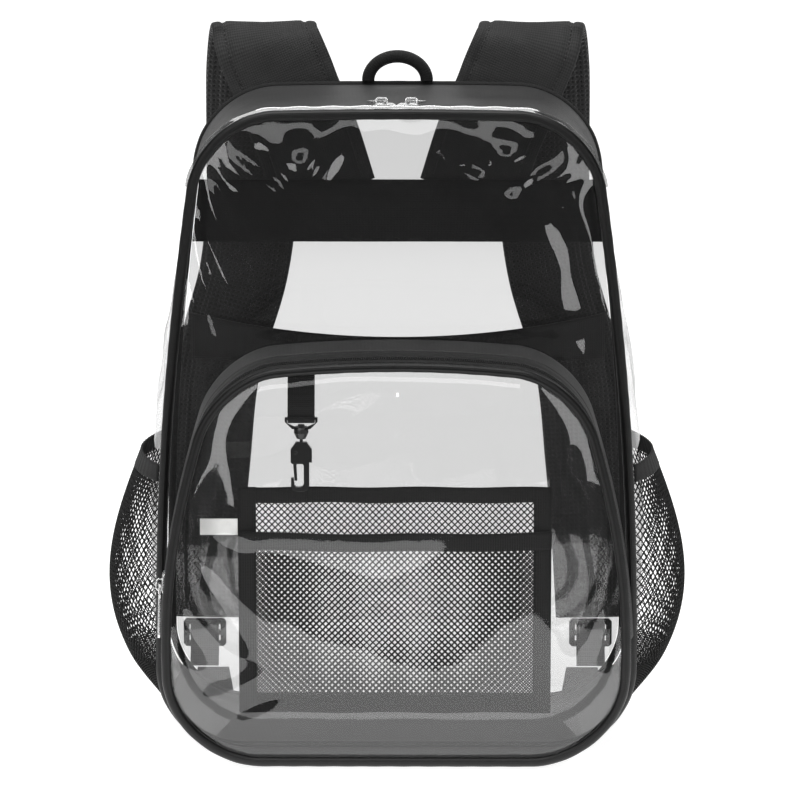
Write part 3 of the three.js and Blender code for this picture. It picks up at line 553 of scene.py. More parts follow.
@dataclass(frozen=True)
class Outline:
    """A rounded, slightly bowed trapezoid, the same as the source's.

    Its parameter runs 0 to 10 from the bottom centre up the right side to the top centre at 5 and
    down the left side.
    """

    half: float
    top_half: float
    low: float
    high: float
    low_radius: float
    top_radius: float
    side_bow: float
    top_bow: float

    def _bowed(self, s: Array) -> Array:
        """Finds the outline's own points.

        Args:
            s: parameters from 0 to 10.

        Returns:
            Their x and z.
        """
        turn = np.mod(s, 10.0)
        side = np.where(turn > 5, -1.0, 1.0)
        k = np.where(turn > 5, 10 - turn, turn)
        lean = math.atan2(self.half - self.top_half, self.high - self.low)
        low_x = self.half - self.low_radius / math.tan((math.pi / 2 - lean) / 2)
        top_x = self.top_half - self.top_radius / math.tan((math.pi / 2 + lean) / 2)
        low_z, top_z = self.low + self.low_radius, self.high - self.top_radius
        first = lerp(-math.pi / 2, lean, np.clip(k - 1, 0, 1))
        last = lerp(lean, math.pi / 2, np.clip(k - 3, 0, 1))
        foot = (low_x + self.low_radius * math.cos(lean), low_z + self.low_radius * math.sin(lean))
        head = (top_x + self.top_radius * math.cos(lean), top_z + self.top_radius * math.sin(lean))
        units = [k < 1, k < 2, k < 3, k < 4]
        x = np.select(
            units,
            [low_x * k, low_x + self.low_radius * np.cos(first), lerp(foot[0], head[0], k - 2),
             top_x + self.top_radius * np.cos(last)],
            top_x * (5 - k),
        )
        z = np.select(
            units,
            [np.full_like(k, self.low), low_z + self.low_radius * np.sin(first),
             lerp(foot[1], head[1], k - 2), top_z + self.top_radius * np.sin(last)],
            self.high,
        )
        f = (z - self.low) / (self.high - self.low)
        wide = side * (x + self.side_bow * np.sin(np.pi * f))
        tall = z + self.top_bow * (1 - (x / self.top_half) ** 2) * f
        return np.stack([wide, tall], -1)

    def at(self, s: float | Array, outward: float = 0.0) -> Array:
        """Finds points on the outline, or a distance outside it.

        Args:
            s: parameters from 0 to 10.
            outward: millimetres outside the outline.

        Returns:
            Their x and z.
        """
        s = np.asarray(s, float)
        ahead = self._bowed(s + 1e-3) - self._bowed(s - 1e-3)
        ahead /= np.linalg.norm(ahead, axis=-1, keepdims=True)
        return self._bowed(s) + outward * np.stack([ahead[..., 1], -ahead[..., 0]], -1)

    def even(self, start: float, end: float, spacing: float) -> Array:
        """Spreads parameters at nearly even distances.

        Args:
            start: the first parameter.
            end: the last.
            spacing: millimetres between neighbours.

        Returns:
            The parameters.
        """
        fine = np.linspace(start, end, 3000)
        step = np.linalg.norm(np.diff(self.at(fine), axis=0), axis=1)
        run = np.concatenate([[0.0], np.cumsum(step)])
        count = max(2, int(round(run[-1] / spacing)) + 1)
        return np.interp(np.linspace(0, run[-1], count), run, fine)

    def station(self, height: float) -> float:
        """Finds where the outline's right side reaches a height.

        Args:
            height: millimetres above the ground.

        Returns:
            The parameter there.
        """
        fine = np.linspace(1.0, 5.0, 8000)
        return float(fine[np.searchsorted(self.at(fine)[:, 1], height)])


FRONT = Outline(157, 127, 4.2, 427, 50, 52, 10, 2.5)
REAR = Outline(157, 131, 4.2, 433, 50, 52, 10, 2.5)
SEAM = Outline(157, 117, 4.2, 273, 50, 45, 15, 8)
POCKET = Outline(147, 117, 5.6, 261, 52, 45, 16, 9)


@dataclass(frozen=True)
class Walls:
    """The sizes that the body and its pocket share."""

    depth: float = 130.0
    sheet: float = 1.0
    cloth: float = 1.2
    webbing: float = 1.5
    gap: float = 0.3
    piping: float = 3.5
    pocket_piping: float = 3.3
    pocket_depth: float = 43.0
    closure_end: float = 380.0
    bottom_wrap: float = 30.0
    pocket_zip_end: float = 82.0
    tape_share: float = 0.56
    wall_front: float = 3.8  # where the walls begin behind the front seam
    wall_back: float = 126.7  # where they end before the back binding
    zip_front: float = 12.1
    zip_back: float = 30.1

    @property
    def back_face(self) -> float:
        """The back panel's outer face."""
        return self.depth + self.sheet / 2

    def body(self, y: float | Array, s: float | Array) -> Array:
        """Finds points of the body's side, top and bottom wall.

        Args:
            y: millimetres behind the front seam.
            s: outline parameters.

        Returns:
            The points.
        """
        y, s = np.broadcast_arrays(np.asarray(y, float), np.asarray(s, float))
        f = y / self.depth
        line = lerp(FRONT.at(s), REAR.at(s), f[..., None])
        bulge = 11 * arched(line[..., 1] / 362) * 4 * f * (1 - f)
        x = line[..., 0] + np.sign(line[..., 0]) * bulge
        return np.stack([x, y, line[..., 1]], -1)

    def pocket(self, u: float | Array, s: float | Array) -> Array:
        """Finds points of the pocket's side wall.

        Args:
            u: 0 at the main seam, 1 at the pocket's piping.
            s: outline parameters.

        Returns:
            The points.
        """
        u, s = np.broadcast_arrays(np.asarray(u, float), np.asarray(s, float))
        line = lerp(SEAM.at(s), POCKET.at(s), u[..., None])
        y = lerp(-self.piping - self.gap, -self.pocket_depth + self.pocket_piping + self.gap, u)
        return np.stack([line[..., 0], y, line[..., 1]], -1)


WALLS = Walls()


@dataclass
class SubAssembly:
    """A group of pieces that share a place and a way of making."""

    def keep(
        self, piece: Object, finish: Finish, slot: Slot, body: Body = Body.BAG,
        stands_for: tuple[str, ...] = (),
    ) -> Object:
        """Dresses a piece, hangs it on its body, and hides the nodes that it stands for.

        Args:
            piece: the object.
            finish: its look.
            slot: the record's slot; not used.
            body: the body that it rides on.
            stands_for: the CAD nodes that it replaces.

        Returns:
            The piece.
        """
        piece.data.materials.clear()
        piece.data.materials.append(finish.build())
        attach(piece, body.value)
        if stands_for:
            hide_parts(*stands_for)
        LOG.info("%s: %d faces, on %s", piece.name, len(piece.data.polygons), body.value)
        return piece

    def sheet(
        self, name: str, points: Array, finish: Finish, slot: Slot, nodes: tuple[str, ...],
        thickness: float = 0.0,
    ) -> Object:
        """Makes a sheet from a grid of points and dresses it.

        Args:
            name: the piece's name.
            points: an array of rows x columns x 3.
            finish: its look.
            slot: its material slot.
            nodes: the CAD nodes that it replaces.
            thickness: millimetres, shared evenly by both sides, or 0 for a single skin.

        Returns:
            The piece.
        """
        made = mesh_object(name, points, grid_faces(*points.shape[:2]), lengths(points))
        if thickness:
            solid = made.modifiers.new("thickness", "SOLIDIFY")
            solid.thickness = thickness * MM
            solid.offset = 0.0
        return self.keep(made, finish, slot, stands_for=nodes)

    def stitches(
        self, name: str, path: Array, radius: float = 0.3, gap_share: float = 0.35
    ) -> Object:
        """Rows of thread along a path, sunk half into what they hold.

        Args:
            name: the piece's name.
            path: a point at each needle hole.
            radius: half the thread's width.
            gap_share: the share of each pitch that stays bare.

        Returns:
            The piece, dressed.
        """
        starts, step = path[:-1], np.diff(path, axis=0)
        points, faces = prisms(starts, starts + step * (1 - gap_share), radius, 4)
        return self.keep(mesh_object(name, points, faces), THREAD, Slot.PIPING)


@dataclass(frozen=True)
class Ripple:
    """A soft fold pressed into a sheet, as a wave inside an oval window."""

    x: float
    z: float
    wide: float
    tall: float
    height: float
    wave: float
    turn: float = 0.0
    shift: float = 0.0

    def depth(self, x: Array, z: Array) -> Array:
        """Finds how far the fold moves the sheet back.

        Args:
            x: places across, in millimetres.
            z: places up.

        Returns:
            Millimetres at each place.
        """
        dx, dz = x - self.x, z - self.z
        angle = math.radians(self.turn)
        along = dx * math.sin(angle) + dz * math.cos(angle)
        window = np.exp(-((dx / self.wide) ** 2) - (dz / self.tall) ** 2)
        return self.height * window * np.sin(2 * np.pi * along / self.wave + self.shift)


def fine_ripples(x: Array, z: Array, seed: int, wave: float) -> Array:
    """Makes slow uneven waves over a sheet, the same on each run.

    Args:
        x: places one way, in millimetres.
        z: places the other way.
        seed: sets the draw.
        wave: the usual length of a wave.

    Returns:
        Heights of about 1.
    """
    draw = np.random.default_rng(seed)
    total = np.zeros_like(x)
    for _ in range(9):
        angle, phase, scale = draw.uniform(0, np.pi), draw.uniform(0, 6.28), draw.uniform(0.7, 1.5)
        along = x * math.cos(angle) + z * math.sin(angle)
        total += np.sin(2 * np.pi * along / (wave * scale) + phase)
    return total / 3


# ---- the pieces ----


@dataclass
class VinylPanels(SubAssembly):
    """The clear sheets: front, back, sides, pocket and the strip over the top."""

    edge_roll: float = 4.2  # mm that the sheets stand forward of their seams
    edge_reach: float = 13.0  # mm over which it comes forward
    pocket_roll: float = 4.6
    pocket_reach: float = 11.0
    back_inset: float = 2.9
    fill_reach: float = 150.0  # mm from a panel's middle to its edge, about
    free_above: float = 281.0  # the height at which the front sheet is clear of the pocket
    free_below: float = 429.0
    calm_edge: float = 9.0  # mm beside a seam where folds die out
    strip_back: float = 11.8
    strip_rise: float = 4.4  # the strip over the top bulges, and so catches the lamp
    strip_fold: float = 0.45
    ripples: tuple[Ripple, ...] = field(
        default_factory=lambda: (
            Ripple(-88, 392, 34, 20, 1.9, 27, 40, 0.4),
            Ripple(-48, 396, 30, 18, 1.7, 24, -55, 2.0),
            Ripple(-70, 376, 46, 10, 0.55, 22, 80, 1.0),
            Ripple(50, 397, 32, 18, 1.8, 26, 35, 1.1),
            Ripple(88, 388, 34, 20, 1.9, 28, -40, 0.2),
            Ripple(66, 374, 40, 10, 0.55, 20, 70, 2.6),
            Ripple(-124, 338, 15, 50, 2.1, 25, 68, 0.7),
            Ripple(-118, 268, 16, 26, 1.4, 22, 75, 2.4),
            Ripple(122, 318, 20, 60, 2.2, 38, 72, 2.2),
            Ripple(104, 356, 24, 30, 1.3, 30, 50, 1.0),
            Ripple(0, 352, 90, 14, 0.5, 34, 25, 0.6),
        )
    )
    pocket_ripples: tuple[Ripple, ...] = field(
        default_factory=lambda: (
            Ripple(-118, 112, 22, 34, 1.5, 30, 55, 1.2),
            Ripple(-104, 46, 26, 16, 1.2, 30, -30, 2.6),
            Ripple(128, 140, 14, 60, 1.6, 34, -70, 0.8),
            Ripple(60, 28, 80, 14, 0.35, 30, 4, 0.3),
        )
    )
    # where the mirrored table's edge crosses the pocket's sheet: mm across and up
    table_line: tuple[tuple[float, float], ...] = (
        (-165, 78), (-132, 66), (-118, 72), (-106, 110), (-94, 111), (-76, 102), (-49, 91),
        (-20, 79), (-4, 72), (12, 71), (31, 74), (51, 85), (67, 98), (81, 107), (97, 112),
        (110, 78), (130, 62), (165, 70),
    )
    # a second fold above it that dips far enough to mirror the table too
    dip_foot: tuple[tuple[float, float], ...] = (
        (-140, 160), (-110, 152), (-75, 148), (-40, 139), (-8, 131), (14, 138), (36, 150),
    )
    dip_top: float = 162.0
    dip_middle: float = -50.0
    dip_half: float = 88.0

    def _mirror_folds(self, x: Array, z: Array) -> Array:
        """The pocket sheet's folds, from the tilts that mirror the table where the photo does.

        Args:
            x: places across, in millimetres.
            z: places up.

        Returns:
            How far the sheet moves back at each place.
        """
        wide, tall = np.meshgrid(
            np.arange(-168.0, 169.0, 2.0), np.arange(0.0, 292.0, 1.0), indexing="ij"
        )
        line = np.interp(wide[:, :1], *np.transpose(self.table_line))
        line = np.convolve(np.pad(line[:, 0], 4, "edge"), np.ones(9) / 9, "valid")[:, None]
        tilt = self._mirror_tilt(line) * np.exp(-(((tall - line) / 34) ** 2))
        foot = np.interp(wide[:, :1], *np.transpose(self.dip_foot))
        middle, half = (self.dip_top + foot) / 2, (self.dip_top - foot) / 2
        inside = np.exp(-0.17 * ((tall - middle) / half) ** 4)
        inside = inside * np.exp(-0.17 * ((wide - self.dip_middle) / self.dip_half) ** 8)
        tilt = tilt + (self._mirror_tilt(tall) + math.radians(1.3)) * inside
        depth = -np.cumsum(np.tan(tilt), axis=1)
        back = np.clip((tall - 150) / 105, 0, 1)
        depth = depth - depth[:, -1:] * back * back * (3 - 2 * back)
        column, row = (np.clip(x, -166, 166) + 168) / 2, np.clip(z, 0, 289)
        i, j = column.astype(int), row.astype(int)
        fx, fz = column - i, row - j
        low = lerp(depth[i, j], depth[i + 1, j], fx)
        high = lerp(depth[i, j + 1], depth[i + 1, j + 1], fx)
        return lerp(low, high, fz)

    def _mirror_tilt(self, z: Array) -> Array:
        """Finds the downward tilt at which the pocket's sheet mirrors the table's edge.

        Args:
            z: heights in millimetres.

        Returns:
            The tilt at each, in radians.
        """
        studio = Studio()
        reach = -studio.table_edge / MM - FRONT_SEAM - WALLS.pocket_depth
        eye = studio.target[2] + studio.distance * math.sin(math.radians(studio.elevation))
        away = studio.distance * math.cos(math.radians(studio.elevation)) - 0.1
        return (np.arctan(z / reach) - np.arctan((eye / MM - z) / (away / MM))) / 2

    def _filled(self, line: Outline, inset: float, spacing: float) -> tuple[Array, Array]:
        """Fills an outline with rings of points, from its middle out.

        Args:
            line: the outline.
            inset: millimetres kept free inside it.
            spacing: millimetres between points.

        Returns:
            Rings x points x 2, as x and z, and each point's distance to the edge.
        """
        edge = line.at(line.even(0, 10, spacing)[:-1], -inset)
        middle = np.array([0.0, line.at(np.array([0.0, 5.0]))[:, 1].mean()])
        shares = np.linspace(0.004, 1, int(round(self.fill_reach / spacing)))[:, None] ** 0.9
        flat = middle + shares[..., None] * (edge - middle)
        room = np.linalg.norm(edge - flat[0].mean(0), axis=-1)[None, :] * (1 - shares)
        return flat, room

    def _panel(
        self, name: str, line: Outline, inset: float,
        depth: Callable[[Array, Array, Array], Array], spacing: float = 3.2,
    ) -> Object:
        """Makes a sheet that fills an outline.

        Args:
            name: the piece's name.
            line: the outline.
            inset: millimetres kept free inside it.
            depth: gives the depth from x, z and the distance to the edge.
            spacing: millimetres between points.

        Returns:
            The piece.
        """
        flat, room = self._filled(line, inset, spacing)
        x, z = flat[..., 0], flat[..., 1]
        points = np.stack([x, depth(x, z, room), z], -1)
        faces = grid_faces(*flat.shape[:2], wrap=True)
        return mesh_object(name, points, faces[:, ::-1], flat * MM)

    def _front_depth(self, x: Array, z: Array, room: Array) -> Array:
        """Shapes the front sheet: forward of its seam above the pocket, with folds.

        Args:
            x: places across, in millimetres.
            z: places up.
            room: distances to the edge.

        Returns:
            The depth at each place.
        """
        above = np.clip((z - self.free_above) / 20, 0, 1)
        above = above * np.clip((self.free_below - z) / 8, 0, 1)
        settle = 1 - np.exp(-room / self.edge_reach)
        swell = -self.edge_roll * settle * (0.25 + 0.75 * above)
        folds = sum(ripple.depth(x, z) for ripple in self.ripples)
        slow = 0.16 * fine_ripples(x, z, 3, 62)
        calm = np.clip(room / self.calm_edge, 0, 1) * np.clip(z / 300, 0.35, 1)
        return swell + (folds + slow) * calm

    def _pocket_depth(self, x: Array, z: Array, room: Array) -> Array:
        """Shapes the pocket's sheet, with the folds that break up what it mirrors.

        Args:
            x: places across, in millimetres.
            z: places up.
            room: distances to the edge.

        Returns:
            The depth at each place.
        """
        settle = 1 - np.exp(-room / self.pocket_reach)
        folds = sum(ripple.depth(x, z) for ripple in self.pocket_ripples)
        folds = folds + self._mirror_folds(x, z)
        slow = 0.10 * fine_ripples(x, z, 11, 70)
        calm = np.clip(room / self.calm_edge, 0, 1)
        return -WALLS.pocket_depth - self.pocket_roll * settle + (folds + slow) * calm

    def _back_depth(self, x: Array, z: Array, room: Array) -> Array:
        """Shapes the back sheet: nearly flat.

        Args:
            x: places across, in millimetres.
            z: places up.
            room: distances to the edge.

        Returns:
            The depth at each place.
        """
        calm = np.clip(room / self.calm_edge, 0, 1)
        return WALLS.depth + 0.12 * fine_ripples(x, z, 5, 80) * calm

    def build(self) -> None:
        """Makes the front, pocket and back sheets, then the sides and the strip."""
        inset = WALLS.piping + WALLS.gap
        front = self._panel("vinyl_front", FRONT, inset, self._front_depth)
        self.keep(front, VINYL, Slot.VINYL, stands_for=("front_panel",))
        pocket = self._panel(
            "vinyl_pocket", POCKET, WALLS.pocket_piping + WALLS.gap, self._pocket_depth
        )
        self.keep(pocket, VINYL, Slot.VINYL, stands_for=("pocket_panel",))
        back = self._panel("vinyl_back", REAR, self.back_inset, self._back_depth, 4.0)
        self.keep(back, VINYL_BACK, Slot.VINYL, stands_for=("back_panel",))
        self._sides()

    def _sides(self) -> None:
        """Makes the side sheets, the pocket's lower sides and the strip under the zipper."""
        foot, top = FRONT.station(WALLS.bottom_wrap), FRONT.station(WALLS.closure_end)
        depths = np.linspace(WALLS.wall_front, WALLS.wall_back, 34)
        for name, start, end in (("right", foot, top), ("left", 10 - top, 10 - foot)):
            s = FRONT.even(start, end, 3.2)
            points = WALLS.body(depths[:, None], s[None])
            room = np.minimum(depths - WALLS.wall_front, WALLS.wall_back - depths)[:, None]
            wave = fine_ripples(points[..., 1] * 1.5, points[..., 2], 21 if start < 5 else 22, 46)
            points = points + normals(points) * (0.7 * wave * np.clip(room / 20, 0, 1))[..., None]
            nodes = (f"side_gusset_{name}",)
            self.sheet(f"vinyl_side_{name}", points, VINYL_SIDE, Slot.VINYL, nodes)
        low = NylonWalls.floor_reach + 0.004
        high = POCKET.station(WALLS.pocket_zip_end) - 0.004
        for name, start, end in (("right", low, high), ("left", 10 - high, 10 - low)):
            points = WALLS.pocket(np.linspace(1, 0, 9)[:, None], POCKET.even(start, end, 3)[None])
            nodes = (f"pocket_side_{name}",)
            self.sheet(f"vinyl_pocket_side_{name}", points, VINYL_SIDE, Slot.VINYL, nodes)
        s = FRONT.even(top, 10 - top, 2.5)
        y = np.linspace(WALLS.wall_front, self.strip_back, 33)
        points = WALLS.body(y[:, None], s[None])
        share = (y - WALLS.wall_front) / (self.strip_back - WALLS.wall_front)
        lift = self.strip_rise * arched(share, 0.8)
        lift = lift - self.strip_fold * np.sin(4 * np.pi * share) * arched(share)
        lift = lift[:, None] * (1 + 0.06 * np.sin(s * 23)[None])
        points = points + normals(points) * lift[..., None]
        self.sheet("vinyl_strip", points, VINYL_STRIP, Slot.VINYL, ("zip_strip",))


@dataclass
class Trim(SubAssembly):
    """Piping, the back binding and the seams beside them."""

    sides: int = 14
    binding: tuple[float, float] = (2.6, 3.0)
    seams: tuple[tuple[str, Outline, float, float], ...] = (
        # name, outline, depth, millimetres outside it
        ("front", FRONT, 3.4, 1.9), ("pocket", POCKET, -39.5, 1.7), ("back", REAR, 132.8, -0.6),
    )

    def _ring(
        self, name: str, line: Outline, y: float, radii: tuple[float, float], finish: Finish,
        node: str,
    ) -> None:
        """Makes a cord covered in cloth round an outline, a little uneven as sewn cloth is.

        Args:
            name: the piece's name.
            line: the outline it follows.
            y: its depth in millimetres.
            radii: half sizes across the outline and along the depth.
            finish: its look.
            node: the CAD node it replaces.
        """
        s = line.even(0, 10, 2.6)[:-1]
        flat, beyond = line.at(s), line.at(s, 1.0)
        path = np.stack([flat[:, 0], np.full(len(s), y), flat[:, 1]], -1)
        away = beyond - flat
        across = np.stack([away[:, 0], np.zeros(len(s)), away[:, 1]], -1)
        pull = 1 + 0.02 * np.sin(np.arange(len(s)) * 2 * np.pi / 7)
        points = tube(path, across, radii, self.sides)
        points = path[:, None] + (points - path[:, None]) * pull[:, None, None]
        loop = np.concatenate([points, points[:1]])
        piece = mesh_object(
            name, loop, grid_faces(len(loop), self.sides, wrap=True)[:, ::-1], lengths(loop)
        )
        self.keep(piece, finish, Slot.PIPING, stands_for=(node,))

    def build(self) -> None:
        """Makes the three rings and their rows of thread."""
        body, pocket = (WALLS.piping,) * 2, (WALLS.pocket_piping,) * 2
        self._ring("piping_front", FRONT, 0, body, PIPED, "front_piping")
        self._ring("piping_pocket", POCKET, -WALLS.pocket_depth, pocket, PIPED, "pocket_piping")
        self._ring("binding_back", REAR, WALLS.depth, self.binding, BOUND, "back_binding")
        for name, line, y, out in self.seams:
            s = line.even(0, 10, STITCH)
            flat = line.at(s, out)
            path = np.stack([flat[:, 0], np.full(len(s), y), flat[:, 1]], -1)
            self.stitches(f"thread_{name}", path)


@dataclass
class NylonWalls(SubAssembly):
    """The opaque cloth: top, bottom, and the pocket's arch and floor."""

    sag: float = 1.1
    pucker: float = 0.35
    turn_in: float = 10.0  # mm beside each seam where the floor comes down to the ground
    drop: float = 3.6
    floor_reach: float = 1.26  # outline parameter that the pocket's floor runs up to

    def build(self) -> None:
        """Makes the top with the slight puckers of sewn cloth, then the bottom and the pocket's
        arch and floor.
        """
        top = FRONT.station(WALLS.closure_end)
        s = FRONT.even(top, 10 - top, 2.6)
        start = WALLS.zip_back + WALLS.gap
        y = np.linspace(start, WALLS.wall_back, 40)
        points = WALLS.body(y[:, None], s[None])
        room = np.minimum(y - start, WALLS.wall_back - y)[:, None]
        wave = fine_ripples(points[..., 0], points[..., 1], 31, 60)
        move = -self.sag * np.clip(room / 40, 0, 1) + self.pucker * np.clip(room / 14, 0, 1) * wave
        points = points + normals(points) * move[..., None]
        self.sheet("nylon_top", points, OXFORD, Slot.NYLON, ("top_gusset",), WALLS.cloth)
        self._bottom()
        self._pocket()

    def _bottom(self) -> None:
        """The floor and its turned-up ends, dropped to the ground between the seams."""
        wrap = FRONT.station(WALLS.bottom_wrap)
        s = FRONT.even(10 - wrap, 10 + wrap, 3.0)
        y0, y1 = WALLS.wall_front, WALLS.wall_back
        y = np.concatenate([
            np.linspace(y0, y0 + self.turn_in, 6), np.linspace(18, 112, 20),
            np.linspace(y1 - self.turn_in, y1, 6),
        ])
        points = WALLS.body(y[:, None], s[None])
        inside = np.clip(np.minimum(y - y0, y1 - y) / self.turn_in, 0, 1)[:, None]
        turn = np.minimum(np.mod(s, 10), 10 - np.mod(s, 10))
        t = np.clip((turn - 1) / (wrap - 1), 0, 1)
        drop = self.drop * inside * (1 - t * t * (3 - 2 * t))[None]
        points = points + normals(points) * drop[..., None]
        self.sheet("nylon_bottom", points, OXFORD, Slot.NYLON, ("bottom_panel",), WALLS.cloth)

    def _pocket(self) -> None:
        """The arch beyond the zipper, and the pocket's floor."""
        zip_end = POCKET.station(WALLS.pocket_zip_end)
        s = POCKET.even(zip_end, 10 - zip_end, 2.6)
        u = 1 - np.linspace(WALLS.tape_share + 0.007, 1, 12)
        points = WALLS.pocket(u[:, None], s[None])
        self.sheet("nylon_pocket_arch", points, OXFORD, Slot.NYLON, ("pocket_gusset",), WALLS.cloth)
        reach = self.floor_reach
        s = POCKET.even(10 - reach, 10 + reach, 3)
        floor = WALLS.pocket(np.linspace(1, 0, 12)[:, None], s[None])
        self.sheet("nylon_pocket_floor", floor, OXFORD, Slot.NYLON, ("pocket_bottom",), WALLS.cloth)


@dataclass
class Zippers(SubAssembly):
    """Tapes with a nylon coil sewn down the middle."""

    pitch: float = 1.45  # mm; a size 5 coil has about 1.2
    half_coil: float = 2.3
    wire: float = 0.42

    def _zip(
        self, name: str, surface: Surface, line: Outline, stations: tuple[float, float], us: Array,
        node: str,
    ) -> None:
        """Makes one tape and its two rows of coil.

        Args:
            name: ends the pieces' names.
            surface: the wall that it's sewn to.
            line: the wall's outline.
            stations: the tape's first and last outline parameters.
            us: its places across.
            node: the CAD node it replaces.
        """
        s = line.even(*stations, 2.4)
        points = surface(np.asarray(us)[:, None], s[None])
        self.sheet(f"tape_{name}", points, TAPED, Slot.TAPE, (node,), WALLS.sheet)
        self._coil(name, surface, line, stations, us)

    def _coil(
        self, name: str, surface: Surface, line: Outline, stations: tuple[float, float], us: Array
    ) -> None:
        """Makes two rows of half loops that meet in the middle, each a bent rod.

        Args:
            name: ends the piece's name.
            surface: the wall that it's sewn to.
            line: the wall's outline.
            stations: the tape's first and last outline parameters.
            us: the tape's places across.
        """
        middle = (us[0] + us[-1]) / 2
        half = self.half_coil * (us[-1] - us[0]) / self.width(surface, us, stations)
        starts, ends = [], []
        for side, shift in ((-1, 0.0), (1, 0.5)):
            s = line.even(*stations, self.pitch)
            s = s[:-1] + shift * np.diff(s)
            at_middle = np.full_like(s, middle)
            away = surface(at_middle, s + 1e-3) - surface(at_middle, s)
            over = surface(at_middle + half, s) - surface(at_middle - half, s)
            up = np.cross(over, away)
            up /= np.linalg.norm(up, axis=-1, keepdims=True)
            lifts = (0.5, 1.35, 1.2)
            reach = (side * half, side * half * 0.5, -side * half * 0.15)
            rows = []
            for lift, across in zip(lifts, reach):
                base = surface(np.full_like(s, middle + across), s)
                rows.append(base + up * lift)
            starts += rows[:-1]
            ends += rows[1:]
        points, faces = prisms(np.concatenate(starts), np.concatenate(ends), self.wire, 4)
        self.keep(mesh_object(f"coil_{name}", points, faces), COIL, Slot.TAPE)

    def width(self, surface: Surface, us: Array, stations: tuple[float, float]) -> float:
        """Measures the tape halfway along it.

        Args:
            surface: the wall that it's sewn to.
            us: its places across.
            stations: its ends.

        Returns:
            Its width in millimetres.
        """
        s = np.array([sum(stations) / 2])
        ends = [surface(np.array([u]), s)[0] for u in (us[0], us[-1])]
        return float(np.linalg.norm(ends[1] - ends[0]))

    def build(self) -> None:
        """Makes the main zipper and the pocket's."""
        top = FRONT.station(WALLS.closure_end)
        us = np.linspace(WALLS.zip_front, WALLS.zip_back, 7)
        self._zip("main", WALLS.body, FRONT, (top, 10 - top), us, "main_zipper")
        end = POCKET.station(WALLS.pocket_zip_end)

        def reversed_pocket(u: Array, s: Array) -> Array:
            """The pocket's wall, counted from its piping."""
            return WALLS.pocket(1 - u, s)

        us = np.linspace(0, WALLS.tape_share, 7)
        self._zip("pocket", reversed_pocket, POCKET, (end, 10 - end), us, "pocket_zipper")


@dataclass
class BackAndSleeve(SubAssembly):
    """The wide band on the back panel, and the clear sleeve with its sagging hem."""

    band_low: float = 327.0
    band_high: float = 370.0
    sleeve_low: float = 12.0
    sleeve_high: float = 246.0
    hem_top: float = 278.0
    hem_sag: float = 14.0
    side_room: float = 11.0  # mm between the sleeve's edge and the back seam
    straight_above: float = 214.75  # the height from which its sides run straight up

    def _sleeve(self, u: Array, z: Array) -> Array:
        """Finds points of the sleeve.

        Args:
            u: -1 to 1 across.
            z: millimetres up.

        Returns:
            The points.
        """
        u, z = np.broadcast_arrays(np.asarray(u, float), np.asarray(z, float))
        fine = np.linspace(1.0, 5.0, 4000)
        line = REAR.at(fine)
        height = np.minimum(z, self.straight_above)
        half = np.interp(height, line[:, 1], line[:, 0]) - self.side_room
        h = np.clip((z - self.sleeve_low) / 250, 0, 1.2)
        standoff = (7 * h**0.5 + 12 * h**2) * (1 - u**2)
        inner = WALLS.depth - WALLS.sheet - WALLS.cloth / 2 - WALLS.gap
        return np.stack([-u * half, inner - standoff, z], -1)

    def build(self) -> None:
        """Makes the band, the sleeve and its hem."""
        z0, z1 = self.band_low, self.band_high
        low, high = (REAR.at(REAR.station(z))[0] - 2.9 for z in (z0, z1))
        f = np.linspace(0, 1, 9)[:, None]
        across = np.linspace(-1, 1, 70)[None]
        half = lerp(low, high, f)
        y = WALLS.back_face + 0.9 + 0.25 * np.sin(across * 9 + f * 3)
        points = np.stack(np.broadcast_arrays(across * half, y, lerp(z0, z1, f)), -1)
        self.sheet(
            "back_band_cloth", points[::-1], BOUND, Slot.WEBBING, ("back_band",), WALLS.cloth
        )
        u = np.linspace(-1, 1, 60)[:, None]
        rise = np.linspace(self.sleeve_low, self.sleeve_high - WALLS.gap, 60)[None]
        points = self._sleeve(u, rise)
        wave = 0.5 * fine_ripples(points[..., 0], points[..., 2], 41, 55) * (1 - u**2)
        points[..., 1] += wave
        self.sheet("vinyl_sleeve", points, VINYL, Slot.VINYL, ("sleeve_panel",))
        top = self.hem_top - self.hem_sag * (1 - u**2)
        points = self._sleeve(u, lerp(self.sleeve_high, top, np.linspace(0, 1, 8)[None]))
        self.sheet("sleeve_hem", points, BOUND, Slot.WEBBING, ("sleeve_band",), WALLS.cloth)


